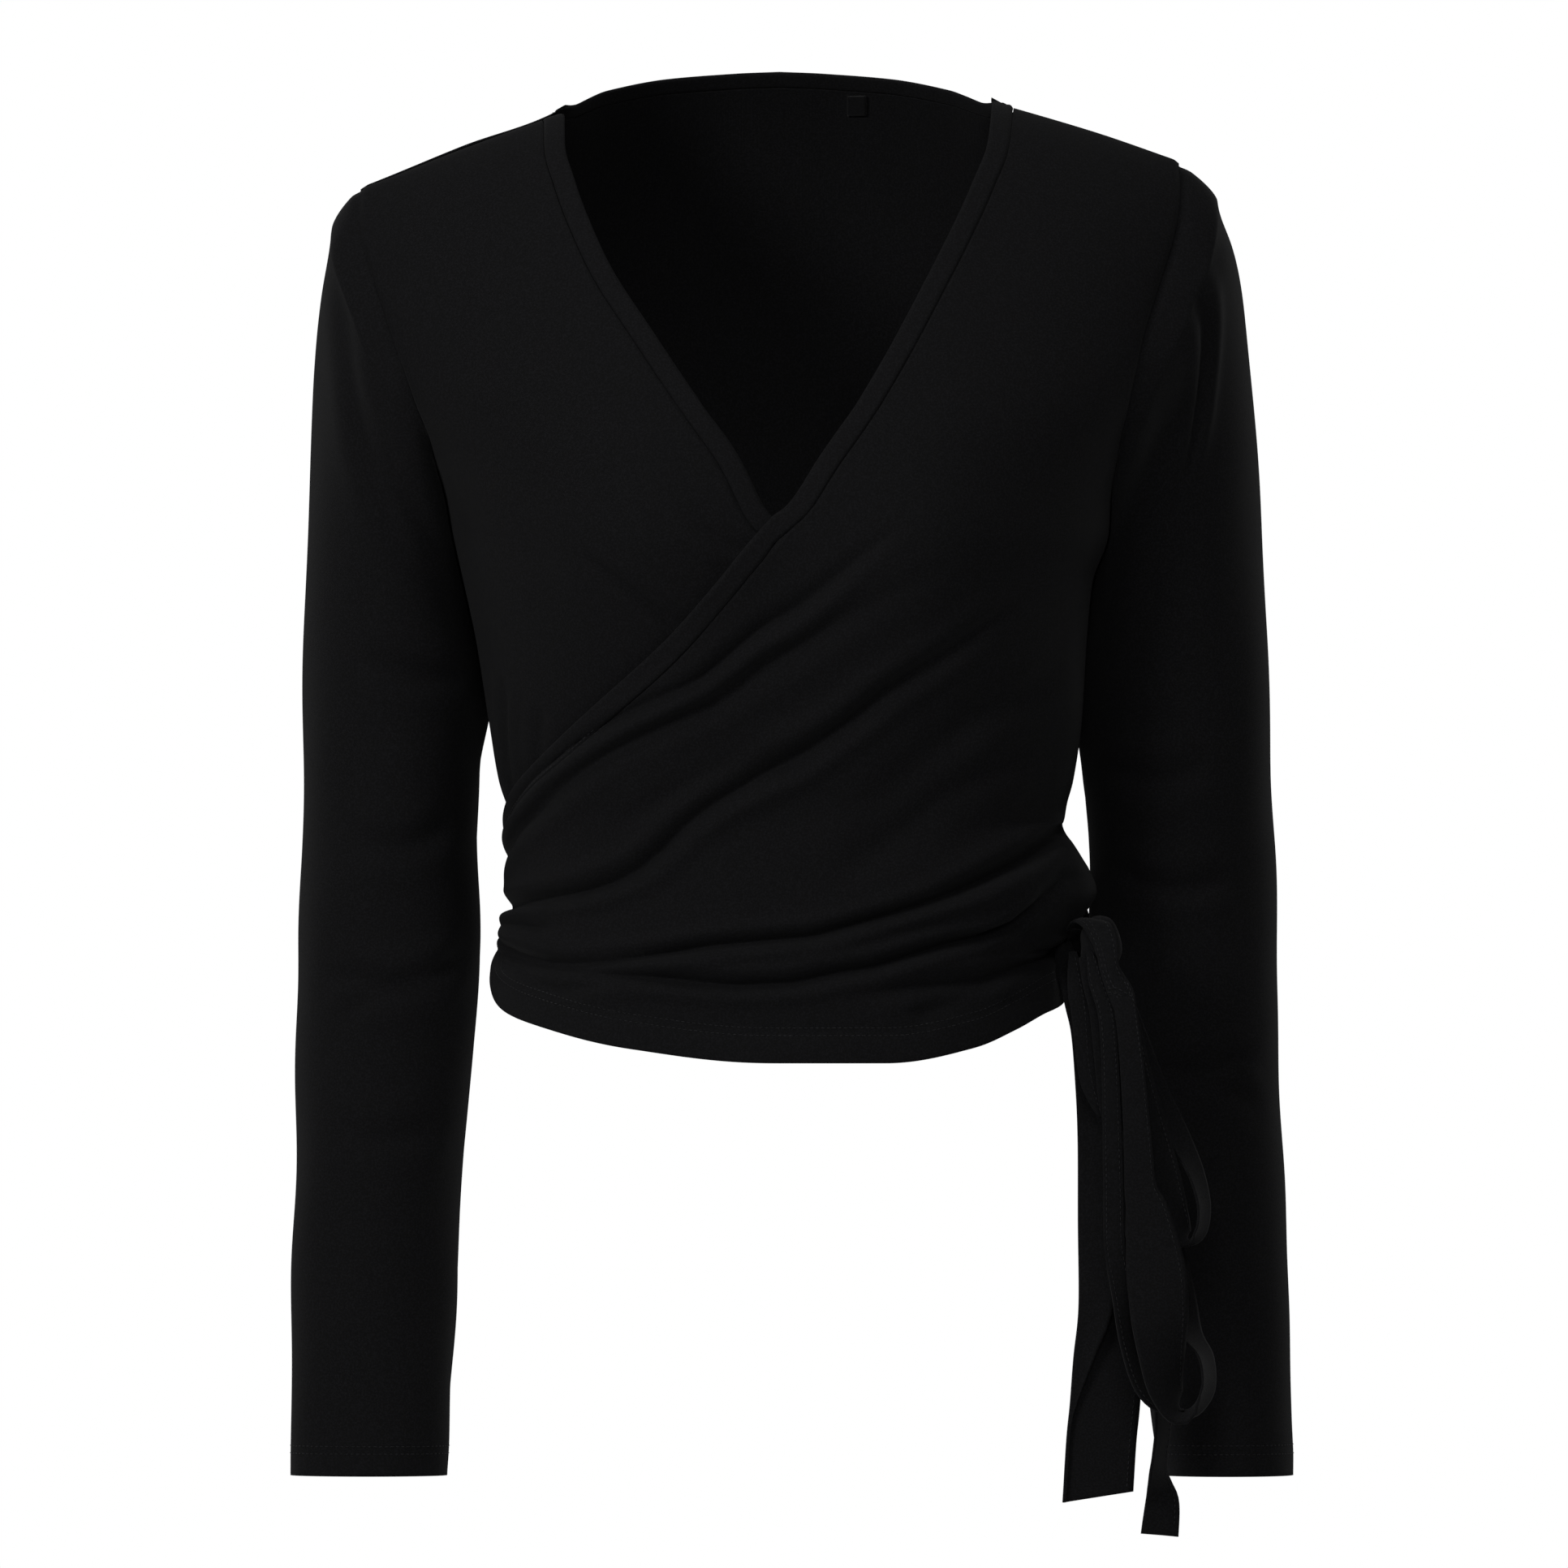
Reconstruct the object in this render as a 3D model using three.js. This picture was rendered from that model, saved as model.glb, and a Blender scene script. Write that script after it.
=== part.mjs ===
// A worn, hollow wrap top of black jersey: two crossed fronts, a back, two long sleeves,
// a bound neckline and a strap tie knotted at the side. Millimetres, +Z up, the front faces -Y.
// The origin lies between the two points where the shoulder seams meet the neckline.
import * as THREE from 'three';

const CLOTH = 2.0; // wall of a panel
const STRAP = 2.0; // thickness of the flat tie
const STRAP_WIDTH = 32; // width of the flat tie
const SEAM = 0.3; // gap left where two pieces are sewn together
const LAYER = 4.4; // the over front stands this far off the under front
const BAND = 10; // width of the front neck binding
const BACK_BAND = 8.5; // width of the back neck binding
const BAND_PROUD = 0.3; // the front binding stands this much above its panel
const BAND_SHY = 0.1; // and stops this much short of the panel's inner face
const BUST = { x: 72, z: -212, wide: 48, tall: 58, deep: 13 };
const RIGHT_SHOULDER_LIFT = 0.08; // the viewer's right shoulder slopes less, from this x outward
const RIGHT_LIFT_FROM = 85;
const NECK_POINT = { left: -101, right: 99.4 }; // the neckline meets the shoulder seams this far out
const SHOULDER_TIP = { left: -196, right: 187 }; // where the shoulder seams meet the armholes
const SHOULDER_COLUMNS = 5; // columns of the back along one shoulder
const NECK_COLUMNS = 14; // columns of the back along its neckline
const TIE_END = -1.42; // where the over front ends in its tie, in quarter turns from the front

const JERSEY = { color: 0x141415, roughness: 0.92, metalness: 0 };
const BINDING = { color: 0x161617, roughness: 0.9, metalness: 0 };

// Half widths of the body at each height, and how square the ring is (2 is an ellipse)
const BODY_WIDTH = [
  { z: -450, left: 126, right: 130, square: 2.35 },
  { z: -415, left: 128, right: 131, square: 2.35 },
  { z: -398, left: 126, right: 129, square: 2.3 },
  { z: -385, left: 124.5, right: 134, square: 2.3 },
  { z: -375, left: 121.5, right: 143, square: 2.3 },
  { z: -366, left: 120.5, right: 148, square: 2.3 },
  { z: -357, left: 121.5, right: 145, square: 2.3 },
  { z: -345, left: 122, right: 137, square: 2.3 },
  { z: -334, left: 124, right: 132, square: 2.3 },
  { z: -314, left: 130.5, right: 137, square: 2.3 },
  { z: -286, left: 135.5, right: 141, square: 2.35 },
  { z: -248, left: 141.5, right: 143.5, square: 2.4 },
  { z: -222, left: 147, right: 146, square: 2.45 },
  { z: -200, left: 152, right: 153.5, square: 2.6 },
  { z: -181, left: 156, right: 155.5, square: 2.75 },
  { z: -158, left: 166, right: 164, square: 2.9 },
  { z: -139, left: 178, right: 174, square: 3 },
  { z: -117, left: 190, right: 183, square: 3 },
  { z: -94, left: 199, right: 190, square: 3 },
  { z: -60, left: 208, right: 198.5, square: 3 },
  { z: -37, left: 212, right: 202, square: 3 },
  { z: 0, left: 215, right: 205, square: 3 },
  { z: 80, left: 218, right: 208, square: 3 },
];

// Depth of the body in front of and behind the side, by the drop below the shoulder line
const BODY_DEPTH = [
  { drop: 0, front: 0, back: 0 },
  { drop: 4, front: 15, back: 14 },
  { drop: 12, front: 28, back: 26 },
  { drop: 28, front: 44, back: 42 },
  { drop: 55, front: 62, back: 62 },
  { drop: 90, front: 80, back: 80 },
  { drop: 130, front: 97, back: 92 },
  { drop: 170, front: 107, back: 98 },
  { drop: 210, front: 110, back: 99 },
  { drop: 260, front: 105, back: 94 },
  { drop: 300, front: 98, back: 85 },
  { drop: 340, front: 94, back: 78 },
  { drop: 380, front: 97, back: 79 },
  { drop: 420, front: 102, back: 84 },
  { drop: 520, front: 106, back: 90 },
];

// Height of the shoulder line, and of the base of the neck in front and behind, by the way out
const SHOULDER_LINE = [
  { out: 0, front: 12, back: 68 },
  { out: 21, front: 12, back: 66.5 },
  { out: 53, front: 10, back: 52 },
  { out: 80, front: 7, back: 27 },
  { out: 100, front: 0, back: 1 },
  { out: 148, front: -17.5, back: -17.5 },
  { out: 196, front: -37, back: -37 },
  { out: 230, front: -49, back: -49 },
];

// The armhole seams as the front shows them, from the shoulder tip to just above the underarm
const ARMHOLE_LEFT = [
  { x: -196, z: -60 },
  { x: -185.5, z: -94 },
  { x: -177.5, z: -118 },
  { x: -170, z: -139.5 },
  { x: -162.6, z: -158 },
];
const ARMHOLE_RIGHT = [
  { x: 186.2, z: -51 },
  { x: 176.7, z: -84 },
  { x: 170, z: -106 },
  { x: 165, z: -128 },
  { x: 159.6, z: -152 },
];
const UNDERARM = -181;

// Hem heights along the front and the back
const HEM_FRONT = [
  { turn: -1.42, z: -388 },
  { turn: -1, z: -403 },
  { turn: -0.78, z: -419 },
  { turn: -0.56, z: -429 },
  { turn: -0.3, z: -439 },
  { turn: 0, z: -445.5 },
  { turn: 0.2, z: -445.5 },
  { turn: 0.42, z: -438.5 },
  { turn: 0.56, z: -430 },
  { turn: 0.7, z: -422 },
  { turn: 1, z: -414 },
];
const HEM_BACK = [
  { turn: 1, z: -412 },
  { turn: 1.5, z: -424 },
  { turn: 2, z: -430 },
  { turn: 2.5, z: -420 },
  { turn: 3, z: -398 },
];

// The bound edge of the over front, from its tie end up to the viewer's right neck point
const OVER_EDGE = [
  { turn: -1.42, z: -353 },
  { turn: -1.2, z: -344 },
  { turn: -1, z: -334 },
  { x: -116, z: -310.5 },
  { x: -91.2, z: -284.6 },
  { x: -46.4, z: -242 },
  { x: -3.2, z: -192 },
  { x: 20.9, z: -161.5 },
  { x: 54.3, z: -108.3 },
  { x: 71.1, z: -76 },
  { x: 89.7, z: -36.5 },
  { x: 97, z: -17 },
  { x: 99.4, z: 4 },
];

// Heights on the side seams above the hem, shared by the fronts and the back
const SEAM_HEIGHTS = [-400, -389, -379, -370, -361, -350, -334, -312, -288,
  -264, -257, -250, -243, -236, -229, -222, -215, -208, -200, -191, -181];
const GATHER_ROWS = 10; // rows that run from the side seam to the tie end of a front
const EDGE_ROWS = 11; // rows that run from the side seam to the bound edge
const ARM_ROWS = 8; // rows that run from the armhole to the bound edge

// The bound edge of the under front, from its hidden end up to the viewer's left neck point
const UNDER_EDGE = [
  { turn: 0.96, z: -336 },
  { x: 112, z: -313 },
  { x: 84, z: -283 },
  { x: 60, z: -258 },
  { x: 36, z: -232.5 },
  { x: 16, z: -211.5 },
  { x: -3.2, z: -192 },
  { x: -19.8, z: -161.5 },
  { x: -57, z: -107.5 },
  { x: -79.8, z: -71.8 },
  { x: -95.4, z: -34.2 },
  { x: -100.4, z: -16 },
  { x: -101, z: -1 },
];

// The back neck edge: how far it lies below the raised shoulder line, by the way out
const BACK_NECK = [
  { out: 0, drop: 48.6 },
  { out: 21, drop: 48 },
  { out: 53, drop: 36.4 },
  { out: 80, drop: 17.2 },
  { out: 94, drop: 4 },
  { out: 100, drop: 0 },
  { out: 230, drop: 0 },
];

// The largest folds of the over front: start, bend and end in the front view, then half width and depth
const FOLDS = [
  { x1: 68, z1: -185, x2: 0, z2: -236, x3: -96, z3: -301, half: 7, deep: 3.2 },
  { x1: 56, z1: -230, x2: -15, z2: -262, x3: -118, z3: -345, half: 7, deep: 4 },
  { x1: 108, z1: -241, x2: -5, z2: -318, x3: -150, z3: -376, half: 8, deep: 5 },
  { x1: 60, z1: -384, x2: -60, z2: -384, x3: -150, z3: -387, half: 5, deep: 3.5 },
  { x1: 130, z1: -341, x2: 20, z2: -402, x3: -150, z3: -394, half: 6, deep: 5 },
  { x1: 112, z1: -356, x2: 30, z2: -418, x3: -124, z3: -400, half: 5.5, deep: 4.5 },
  { x1: 138, z1: -364, x2: 110, z2: -362, x3: 50, z3: -402, half: 5.5, deep: 4.5 },
  { x1: 136, z1: -382, x2: 110, z2: -400, x3: 50, z3: -424, half: 6, deep: 4.5 },
];
// Loose cloth that the folds sink into; it lies flat at its bound edge, at the far seam and at the tie
const PUFF = { top: -215, full: -345, deep: 5.2, edge: 26, seamFrom: 0.7, sideFrom: 0.7, sideTo: 1.1 };

// Sleeves from the cap to the cuff: the outer and inner points of each ring, its depth both ways and
// how far the arm leans back there
const SLEEVE_LEFT = [
  { outX: -209.5, outZ: -59, inX: -155.4, inZ: -199, front: 50, back: 48, lean: 8 },
  { outX: -216, outZ: -92, inX: -150.5, inZ: -212, front: 52, back: 50, lean: 14 },
  { outX: -218.5, outZ: -130, inX: -146.4, inZ: -228, front: 52, back: 51, lean: 20 },
  { outX: -220.5, outZ: -175, inX: -142, inZ: -246, front: 50, back: 50, lean: 24 },
  { outX: -222, outZ: -230, inX: -139.2, inZ: -268, front: 47, back: 48, lean: 26 },
  { outX: -223.5, outZ: -290, inX: -139.8, inZ: -302, front: 45, back: 46, lean: 27 },
  { outX: -224, outZ: -345, inX: -141.3, inZ: -345, front: 43, back: 44, lean: 27 },
  { outX: -226, outZ: -392, inX: -140, inZ: -386, front: 42, back: 42, lean: 27 },
  { outX: -226.6, outZ: -440, inX: -143.5, inZ: -440, front: 40, back: 39, lean: 26 },
  { outX: -227.6, outZ: -500, inX: -148.4, inZ: -500, front: 36, back: 35, lean: 24 },
  { outX: -228.8, outZ: -560, inX: -151.6, inZ: -560, front: 31, back: 30, lean: 22 },
  { outX: -229.2, outZ: -610, inX: -154, inZ: -610, front: 27, back: 26, lean: 20 },
  { outX: -229.2, outZ: -640, inX: -155.4, inZ: -640, front: 25, back: 24, lean: 19 },
];
const SLEEVE_RIGHT = [
  { outX: 205.5, outZ: -42, inX: 160.8, inZ: -199, front: 50, back: 48, lean: 8 },
  { outX: 214.5, outZ: -64, inX: 151.3, inZ: -211, front: 52, back: 50, lean: 14 },
  { outX: 218.4, outZ: -96, inX: 146.4, inZ: -226, front: 52, back: 51, lean: 20 },
  { outX: 222.4, outZ: -140, inX: 144.2, inZ: -243, front: 50, back: 50, lean: 24 },
  { outX: 226.2, outZ: -190, inX: 142.8, inZ: -262, front: 48, back: 49, lean: 26 },
  { outX: 229, outZ: -240, inX: 141.5, inZ: -284, front: 46, back: 47, lean: 27 },
  { outX: 231.5, outZ: -298, inX: 142.4, inZ: -308, front: 45, back: 45, lean: 29 },
  { outX: 232.3, outZ: -340, inX: 144.8, inZ: -340, front: 43, back: 43, lean: 33 },
  { outX: 232.9, outZ: -366, inX: 145.2, inZ: -362, front: 42.5, back: 42, lean: 35 },
  { outX: 233.7, outZ: -392, inX: 145.4, inZ: -385, front: 42, back: 41, lean: 35 },
  { outX: 235, outZ: -440, inX: 152, inZ: -440, front: 39, back: 38, lean: 32 },
  { outX: 237, outZ: -500, inX: 160, inZ: -500, front: 36, back: 35, lean: 28 },
  { outX: 239.6, outZ: -570, inX: 168, inZ: -570, front: 33, back: 32, lean: 24 },
  { outX: 241, outZ: -610, inX: 174, inZ: -610, front: 32, back: 31, lean: 22 },
  { outX: 241, outZ: -640, inX: 179, inZ: -640, front: 31, back: 30, lean: 21 },
];

const JOIN_RINGS = 3; // rings over which a sleeve passes from the armhole's shape to its own
const RING_DROP = 18; // height of one such ring
const UNDERARM_IN = 2.5; // how far the underarm draws in at each of them
const CAP_CLEAR = 3 * SEAM; // how far the cap's first ring stands off the armhole
const UNDERARM_CLEAR = 2; // and how much more it does so at the underarm

const AT_KNOT = 0; // a station with this height starts just under the knot
// The straps of the bow, from the knot down: centre, width there, and how far the flat side turns
const TAIL_BROAD = [
  { x: 145.5, y: -47, z: AT_KNOT, width: 20, turn: 0 },
  { x: 149.5, y: -47.5, z: -434, width: 24.5, turn: 0 },
  { x: 154.5, y: -48, z: -470, width: 28, turn: 0 },
  { x: 155.8, y: -48, z: -520, width: 30, turn: 0 },
  { x: 156.2, y: -48, z: -560, width: 31, turn: 0 },
  { x: 153.2, y: -48, z: -608, width: 31.5, turn: 0 },
  { x: 149.6, y: -48, z: -646, width: 31.5, turn: 0 },
];
const TAIL_NARROW = [
  { x: 153, y: -52, z: AT_KNOT, width: 14, turn: 0 },
  { x: 162, y: -53, z: -460, width: 18, turn: 0 },
  { x: 171, y: -53.5, z: -530, width: 18, turn: 5 },
  { x: 178, y: -54, z: -600, width: 20, turn: 40 },
  { x: 179.4, y: -54, z: -626, width: 20, turn: 58 },
  { x: 178.6, y: -54, z: -648, width: 21, turn: 45 },
  { x: 177.4, y: -54, z: -666, width: 21, turn: 32 },
];
const LOOP_LOWER = [
  { x: 151, y: -72, z: AT_KNOT, width: 16, turn: 0 },
  { x: 158, y: -74, z: -450, width: 21, turn: 0 },
  { x: 163, y: -76, z: -510, width: 23, turn: 0 },
  { x: 170, y: -78, z: -560, width: 25, turn: 0 },
  { x: 180, y: -77, z: -594, width: 25, turn: -14 },
  { x: 184, y: -69, z: -605, width: 24, turn: -18 },
  { x: 188, y: -61, z: -596, width: 22, turn: -14 },
  { x: 187, y: -59, z: -560, width: 20, turn: 0 },
  { x: 176, y: -58, z: -510, width: 18, turn: 0 },
  { x: 165, y: -57.5, z: -450, width: 17, turn: 0 },
  { x: 155, y: -57, z: AT_KNOT, width: 14, turn: 0 },
];
const LOOP_UPPER = [
  { x: 151.5, y: -66, z: AT_KNOT, width: 14, turn: 0 },
  { x: 153.5, y: -66.8, z: -420, width: 15, turn: 0 },
  { x: 162, y: -68.2, z: -442, width: 18, turn: 0 },
  { x: 174, y: -69.5, z: -478, width: 20, turn: 0 },
  { x: 187, y: -70, z: -512, width: 20, turn: 0 },
  { x: 190, y: -67.6, z: -525, width: 18, turn: 0 },
  { x: 187, y: -65, z: -514, width: 18, turn: 0 },
  { x: 172, y: -63.6, z: -474, width: 17, turn: 0 },
  { x: 162, y: -62.8, z: -442, width: 15, turn: 0 },
  { x: 154, y: -62.2, z: -422, width: 13, turn: 0 },
  { x: 152, y: -61.8, z: AT_KNOT, width: 12, turn: 0 },
];
const TIE_GAP = 0.01; // the long tie starts this far past the over front, in quarter turns
const KNOT_GAP = 0.7; // the straps end this far below the knot
const KNOT = { x: 151, y: -55, z: -392.5, halfX: 12.5, halfY: 22, halfZ: 17.5, lobe: 1.4, lobes: 4 };
// The ties come to the knot with their width upright
const TIE_SIDE = [
  { x: 135.2, y: -37, z: -389, tall: 11 },
  { x: 138.4, y: -39, z: -389.5, tall: 11 },
  { x: 140.8, y: -40.4, z: -390, tall: 10 },
];
const TIE_BACK_END_FACE = { x: 0.95, y: 0.31 }; // the way the end of the long tie faces
const TIE_BACK_END = [
  { x: 142.5, y: -18, z: -392.5, tall: 17 },
  { x: 146.6, y: -33.2, z: -392.5, tall: 13 },
];
const NECK_TAB = { x: 37, z: 8, wide: 9, tall: 9, thick: 1, clear: 0.9 };

const QUARTER_DEGREES = 90; // a side seam lies a quarter turn from the front
// The way out of the cloth points away from a heart this far below each point, and never above this height
const HEART = { below: 30, top: -60 };
const SHOULDER_BEND = 6; // within this drop of the shoulder line the cloth faces straight up
const SLIDE = { turn: 0.012, down: 1.2 }; // the small steps that measure the slope of the cloth
const LEVEL_BELOW = -250; // rows of the panels are level below this height
const FOLLOW_ABOVE = -120; // and follow the shoulder line above this one
const FOLD_STEPS = 14; // points along a fold's curve where its distance is measured
const FOLD_FADE = { from: -0.02, to: 0.2 }; // share of a fold's length over which it deepens
const EDGE_SAMPLES = 48; // points where the line inside a bound edge is measured
const SIDE_TURN = { from: 0.5, to: 0.85 }; // from one to the other that line takes on the turn of its edge

function tableCurve(rows, by, column) {
  const at = rows.map((row) => row[by]);
  const value = rows.map((row) => row[column]);
  const rising = at[at.length - 1] > at[0];
  if (!rising) {
    at.reverse();
    value.reverse();
  }
  const secant = at.slice(1).map((next, i) => (value[i + 1] - value[i]) / (next - at[i]));
  const slope = at.map((_, i) => {
    if (i === 0) return secant[0];
    if (i === at.length - 1) return secant[i - 1];
    const product = secant[i - 1] * secant[i];
    return product <= 0 ? 0 : (2 * product) / (secant[i - 1] + secant[i]);
  });
  return (where) => {
    const clamped = Math.min(Math.max(where, at[0]), at[at.length - 1]);
    let k = 0;
    while (k < at.length - 2 && clamped > at[k + 1]) k += 1;
    const span = at[k + 1] - at[k];
    const t = (clamped - at[k]) / span;
    const squared = t * t;
    const cubed = squared * t;
    return (2 * cubed - 3 * squared + 1) * value[k] + (cubed - 2 * squared + t) * span * slope[k]
      + (3 * squared - 2 * cubed) * value[k + 1] + (cubed - squared) * span * slope[k + 1];
  };
}

const mix = (from, to, t) => from + (to - from) * t;

function ease(from, to, value) {
  const t = Math.min(Math.max((value - from) / (to - from), 0), 1);
  return t * t * (3 - 2 * t);
}

const widthLeft = tableCurve(BODY_WIDTH, 'z', 'left');
const widthRight = tableCurve(BODY_WIDTH, 'z', 'right');
const squareness = tableCurve(BODY_WIDTH, 'z', 'square');
const depthRows = BODY_DEPTH.map((row) => ({ ...row, root: Math.sqrt(row.drop) }));
const depthFront = tableCurve(depthRows, 'root', 'front');
const depthBack = tableCurve(depthRows, 'root', 'back');
const shoulderFront = tableCurve(SHOULDER_LINE, 'out', 'front');
const shoulderBack = tableCurve(SHOULDER_LINE, 'out', 'back');

function shoulderHeight(x, behind) {
  const line = behind ? shoulderBack(Math.abs(x)) : shoulderFront(Math.abs(x));
  return line + Math.max(0, x - RIGHT_LIFT_FROM) * RIGHT_SHOULDER_LIFT;
}

const angleOf = (turn) => THREE.MathUtils.degToRad(turn * QUARTER_DEGREES);
const isBehind = (turn) => Math.cos(angleOf(turn)) < 0;

function bodyX(turn, z) {
  const sine = Math.sin(angleOf(turn));
  const half = sine < 0 ? widthLeft(z) : widthRight(z);
  return Math.sign(sine) * half * Math.abs(sine) ** (2 / squareness(z));
}

// A point of the body at a turn from the front and a height; it grows outward by lift
function bodyPoint(turn, z) {
  const x = bodyX(turn, z);
  const behind = isBehind(turn);
  const drop = Math.max(shoulderHeight(x, behind) - z, 0);
  const cosine = Math.abs(Math.cos(angleOf(turn))) ** (2 / squareness(z));
  let depth = behind ? depthBack(Math.sqrt(drop)) : depthFront(Math.sqrt(drop));
  if (!behind) {
    const across = ((Math.abs(x) - BUST.x) / BUST.wide) ** 2;
    depth += BUST.deep * Math.exp(-across - ((z - BUST.z) / BUST.tall) ** 2);
  }
  return new THREE.Vector3(x, (behind ? 1 : -1) * depth * cosine, z);
}

function turnAt(x, z) {
  const half = x < 0 ? widthLeft(z) : widthRight(z);
  const sine = Math.min(Math.abs(x) / half, 1) ** (squareness(z) / 2);
  return (Math.sign(x) * THREE.MathUtils.radToDeg(Math.asin(sine))) / QUARTER_DEGREES;
}

// The height at a turn that lies a given drop below the shoulder line
function heightAtDrop(turn, drop, guess) {
  let z = guess;
  for (let step = 0; step < 4; step += 1) z = shoulderHeight(bodyX(turn, z), isBehind(turn)) - drop;
  return z;
}

function bodyNormal(turn, z) {
  const across = bodyPoint(turn + SLIDE.turn, z).sub(bodyPoint(turn - SLIDE.turn, z));
  const below = bodyPoint(turn, z - SLIDE.down);
  const top = shoulderHeight(bodyX(turn, z), isBehind(turn));
  const aboveHeight = Math.min(z + SLIDE.down, top);
  const down = below.sub(bodyPoint(turn, aboveHeight));
  const normal = across.cross(down).normalize();
  const onBody = bodyPoint(turn, z);
  const heart = new THREE.Vector3(onBody.x / 2, 0, Math.min(onBody.z - HEART.below, HEART.top));
  if (normal.dot(onBody.clone().sub(heart)) < 0) normal.negate();
  const atShoulder = 1 - ease(0, SHOULDER_BEND, top - z);
  normal.y *= 1 - atShoulder;
  return normal.normalize();
}

function placeOf(mark) {
  const turn = mark.turn === undefined ? turnAt(mark.x, mark.z) : mark.turn;
  return { turn, z: mark.z };
}

function dropOf(place) {
  return shoulderHeight(bodyX(place.turn, place.z), isBehind(place.turn)) - place.z;
}

// A smooth line of places through marks, with t from 0 to 1 spread evenly over the rows
function edgeLine(marks) {
  const rows = marks.map((mark, i) => ({ t: i / (marks.length - 1), ...placeOf(mark) }));
  const turn = tableCurve(rows, 't', 'turn');
  const height = tableCurve(rows, 't', 'z');
  return (t) => ({ turn: turn(t), z: height(t) });
}

// A row between two edges follows the shoulder line near the top and level lines lower down
function between(first, last, s) {
  const turn = mix(first.turn, last.turn, s);
  const level = mix(first.z, last.z, s);
  const follow = ease(LEVEL_BELOW, FOLLOW_ABOVE, level);
  if (follow === 0) return { turn, z: level };
  const drop = mix(dropOf(first), dropOf(last), s);
  return { turn, z: mix(level, heightAtDrop(turn, drop, level), follow) };
}

// Distance from a front-view point to a fold that bends once, and how far along it lies
function foldReach(fold, x, z) {
  let nearest = Infinity;
  let along = 0;
  for (let i = 0; i <= FOLD_STEPS; i += 1) {
    const t = i / FOLD_STEPS;
    const bendX = mix(mix(fold.x1, fold.x2, t), mix(fold.x2, fold.x3, t), t);
    const bendZ = mix(mix(fold.z1, fold.z2, t), mix(fold.z2, fold.z3, t), t);
    const distance = Math.hypot(x - bendX, z - bendZ);
    if (distance < nearest) {
      nearest = distance;
      along = t;
    }
  }
  return { nearest, along };
}

// Loose cloth stands off the body and each fold sinks back into it
function foldLift(turn, z) {
  const point = bodyPoint(turn, z);
  const beyond = turn < -1 ? 2 * (-widthLeft(z) - point.x) : 0;
  const x = point.x + beyond;
  const height = ease(PUFF.top, PUFF.full, z);
  const nearEdge = ease(0, PUFF.edge, overEdgeHeight(turn) - z);
  const nearEnds = (1 - ease(PUFF.seamFrom, 1, turn)) * (1 - ease(PUFF.sideFrom, PUFF.sideTo, -turn));
  const puff = PUFF.deep * height * nearEdge * nearEnds;
  let sink = 0;
  for (const fold of FOLDS) {
    const { nearest, along } = foldReach(fold, x, z);
    const fade = ease(FOLD_FADE.from, FOLD_FADE.to, along);
    sink = Math.max(sink, fold.deep * fade * Math.exp(-((nearest / fold.half) ** 2)));
  }
  return Math.max(puff - sink, 0);
}

const overEdgeRows = OVER_EDGE.map((mark) => placeOf(mark));
const overEdgeHeight = tableCurve(overEdgeRows, 'turn', 'z');

const overLayer = (turn) => (LAYER / 2) * (1 - Math.max(turn, -1));
const underLayer = (turn) => (-LAYER / 2) * (1 + turn);

function lifted(place, lift) {
  const normal = bodyNormal(place.turn, place.z);
  return { point: bodyPoint(place.turn, place.z).addScaledVector(normal, lift), normal };
}

// Moves the outermost rows and columns of a grid inward, so that sewn pieces don't touch
function drawIn(grid, gaps) {
  const rows = grid.length;
  const columns = grid[0].length;
  const pull = (vertex, inner, gap) => {
    const way = inner.point.clone().sub(vertex.point);
    const length = way.length();
    if (length > 0) vertex.point.addScaledVector(way, gap / length);
  };
  for (let j = 0; j < rows; j += 1) {
    if (gaps.start) pull(grid[j][0], grid[j][1], gaps.start);
    if (gaps.end) pull(grid[j][columns - 1], grid[j][columns - 2], gaps.end);
  }
  for (let i = 0; i < columns; i += 1) {
    if (gaps.bottom) pull(grid[0][i], grid[1][i], gaps.bottom);
    if (gaps.top) pull(grid[rows - 1][i], grid[rows - 2][i], gaps.top);
  }
}

const cornerAt = (positions, k) => new THREE.Vector3().fromArray(positions, k * 3);

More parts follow.
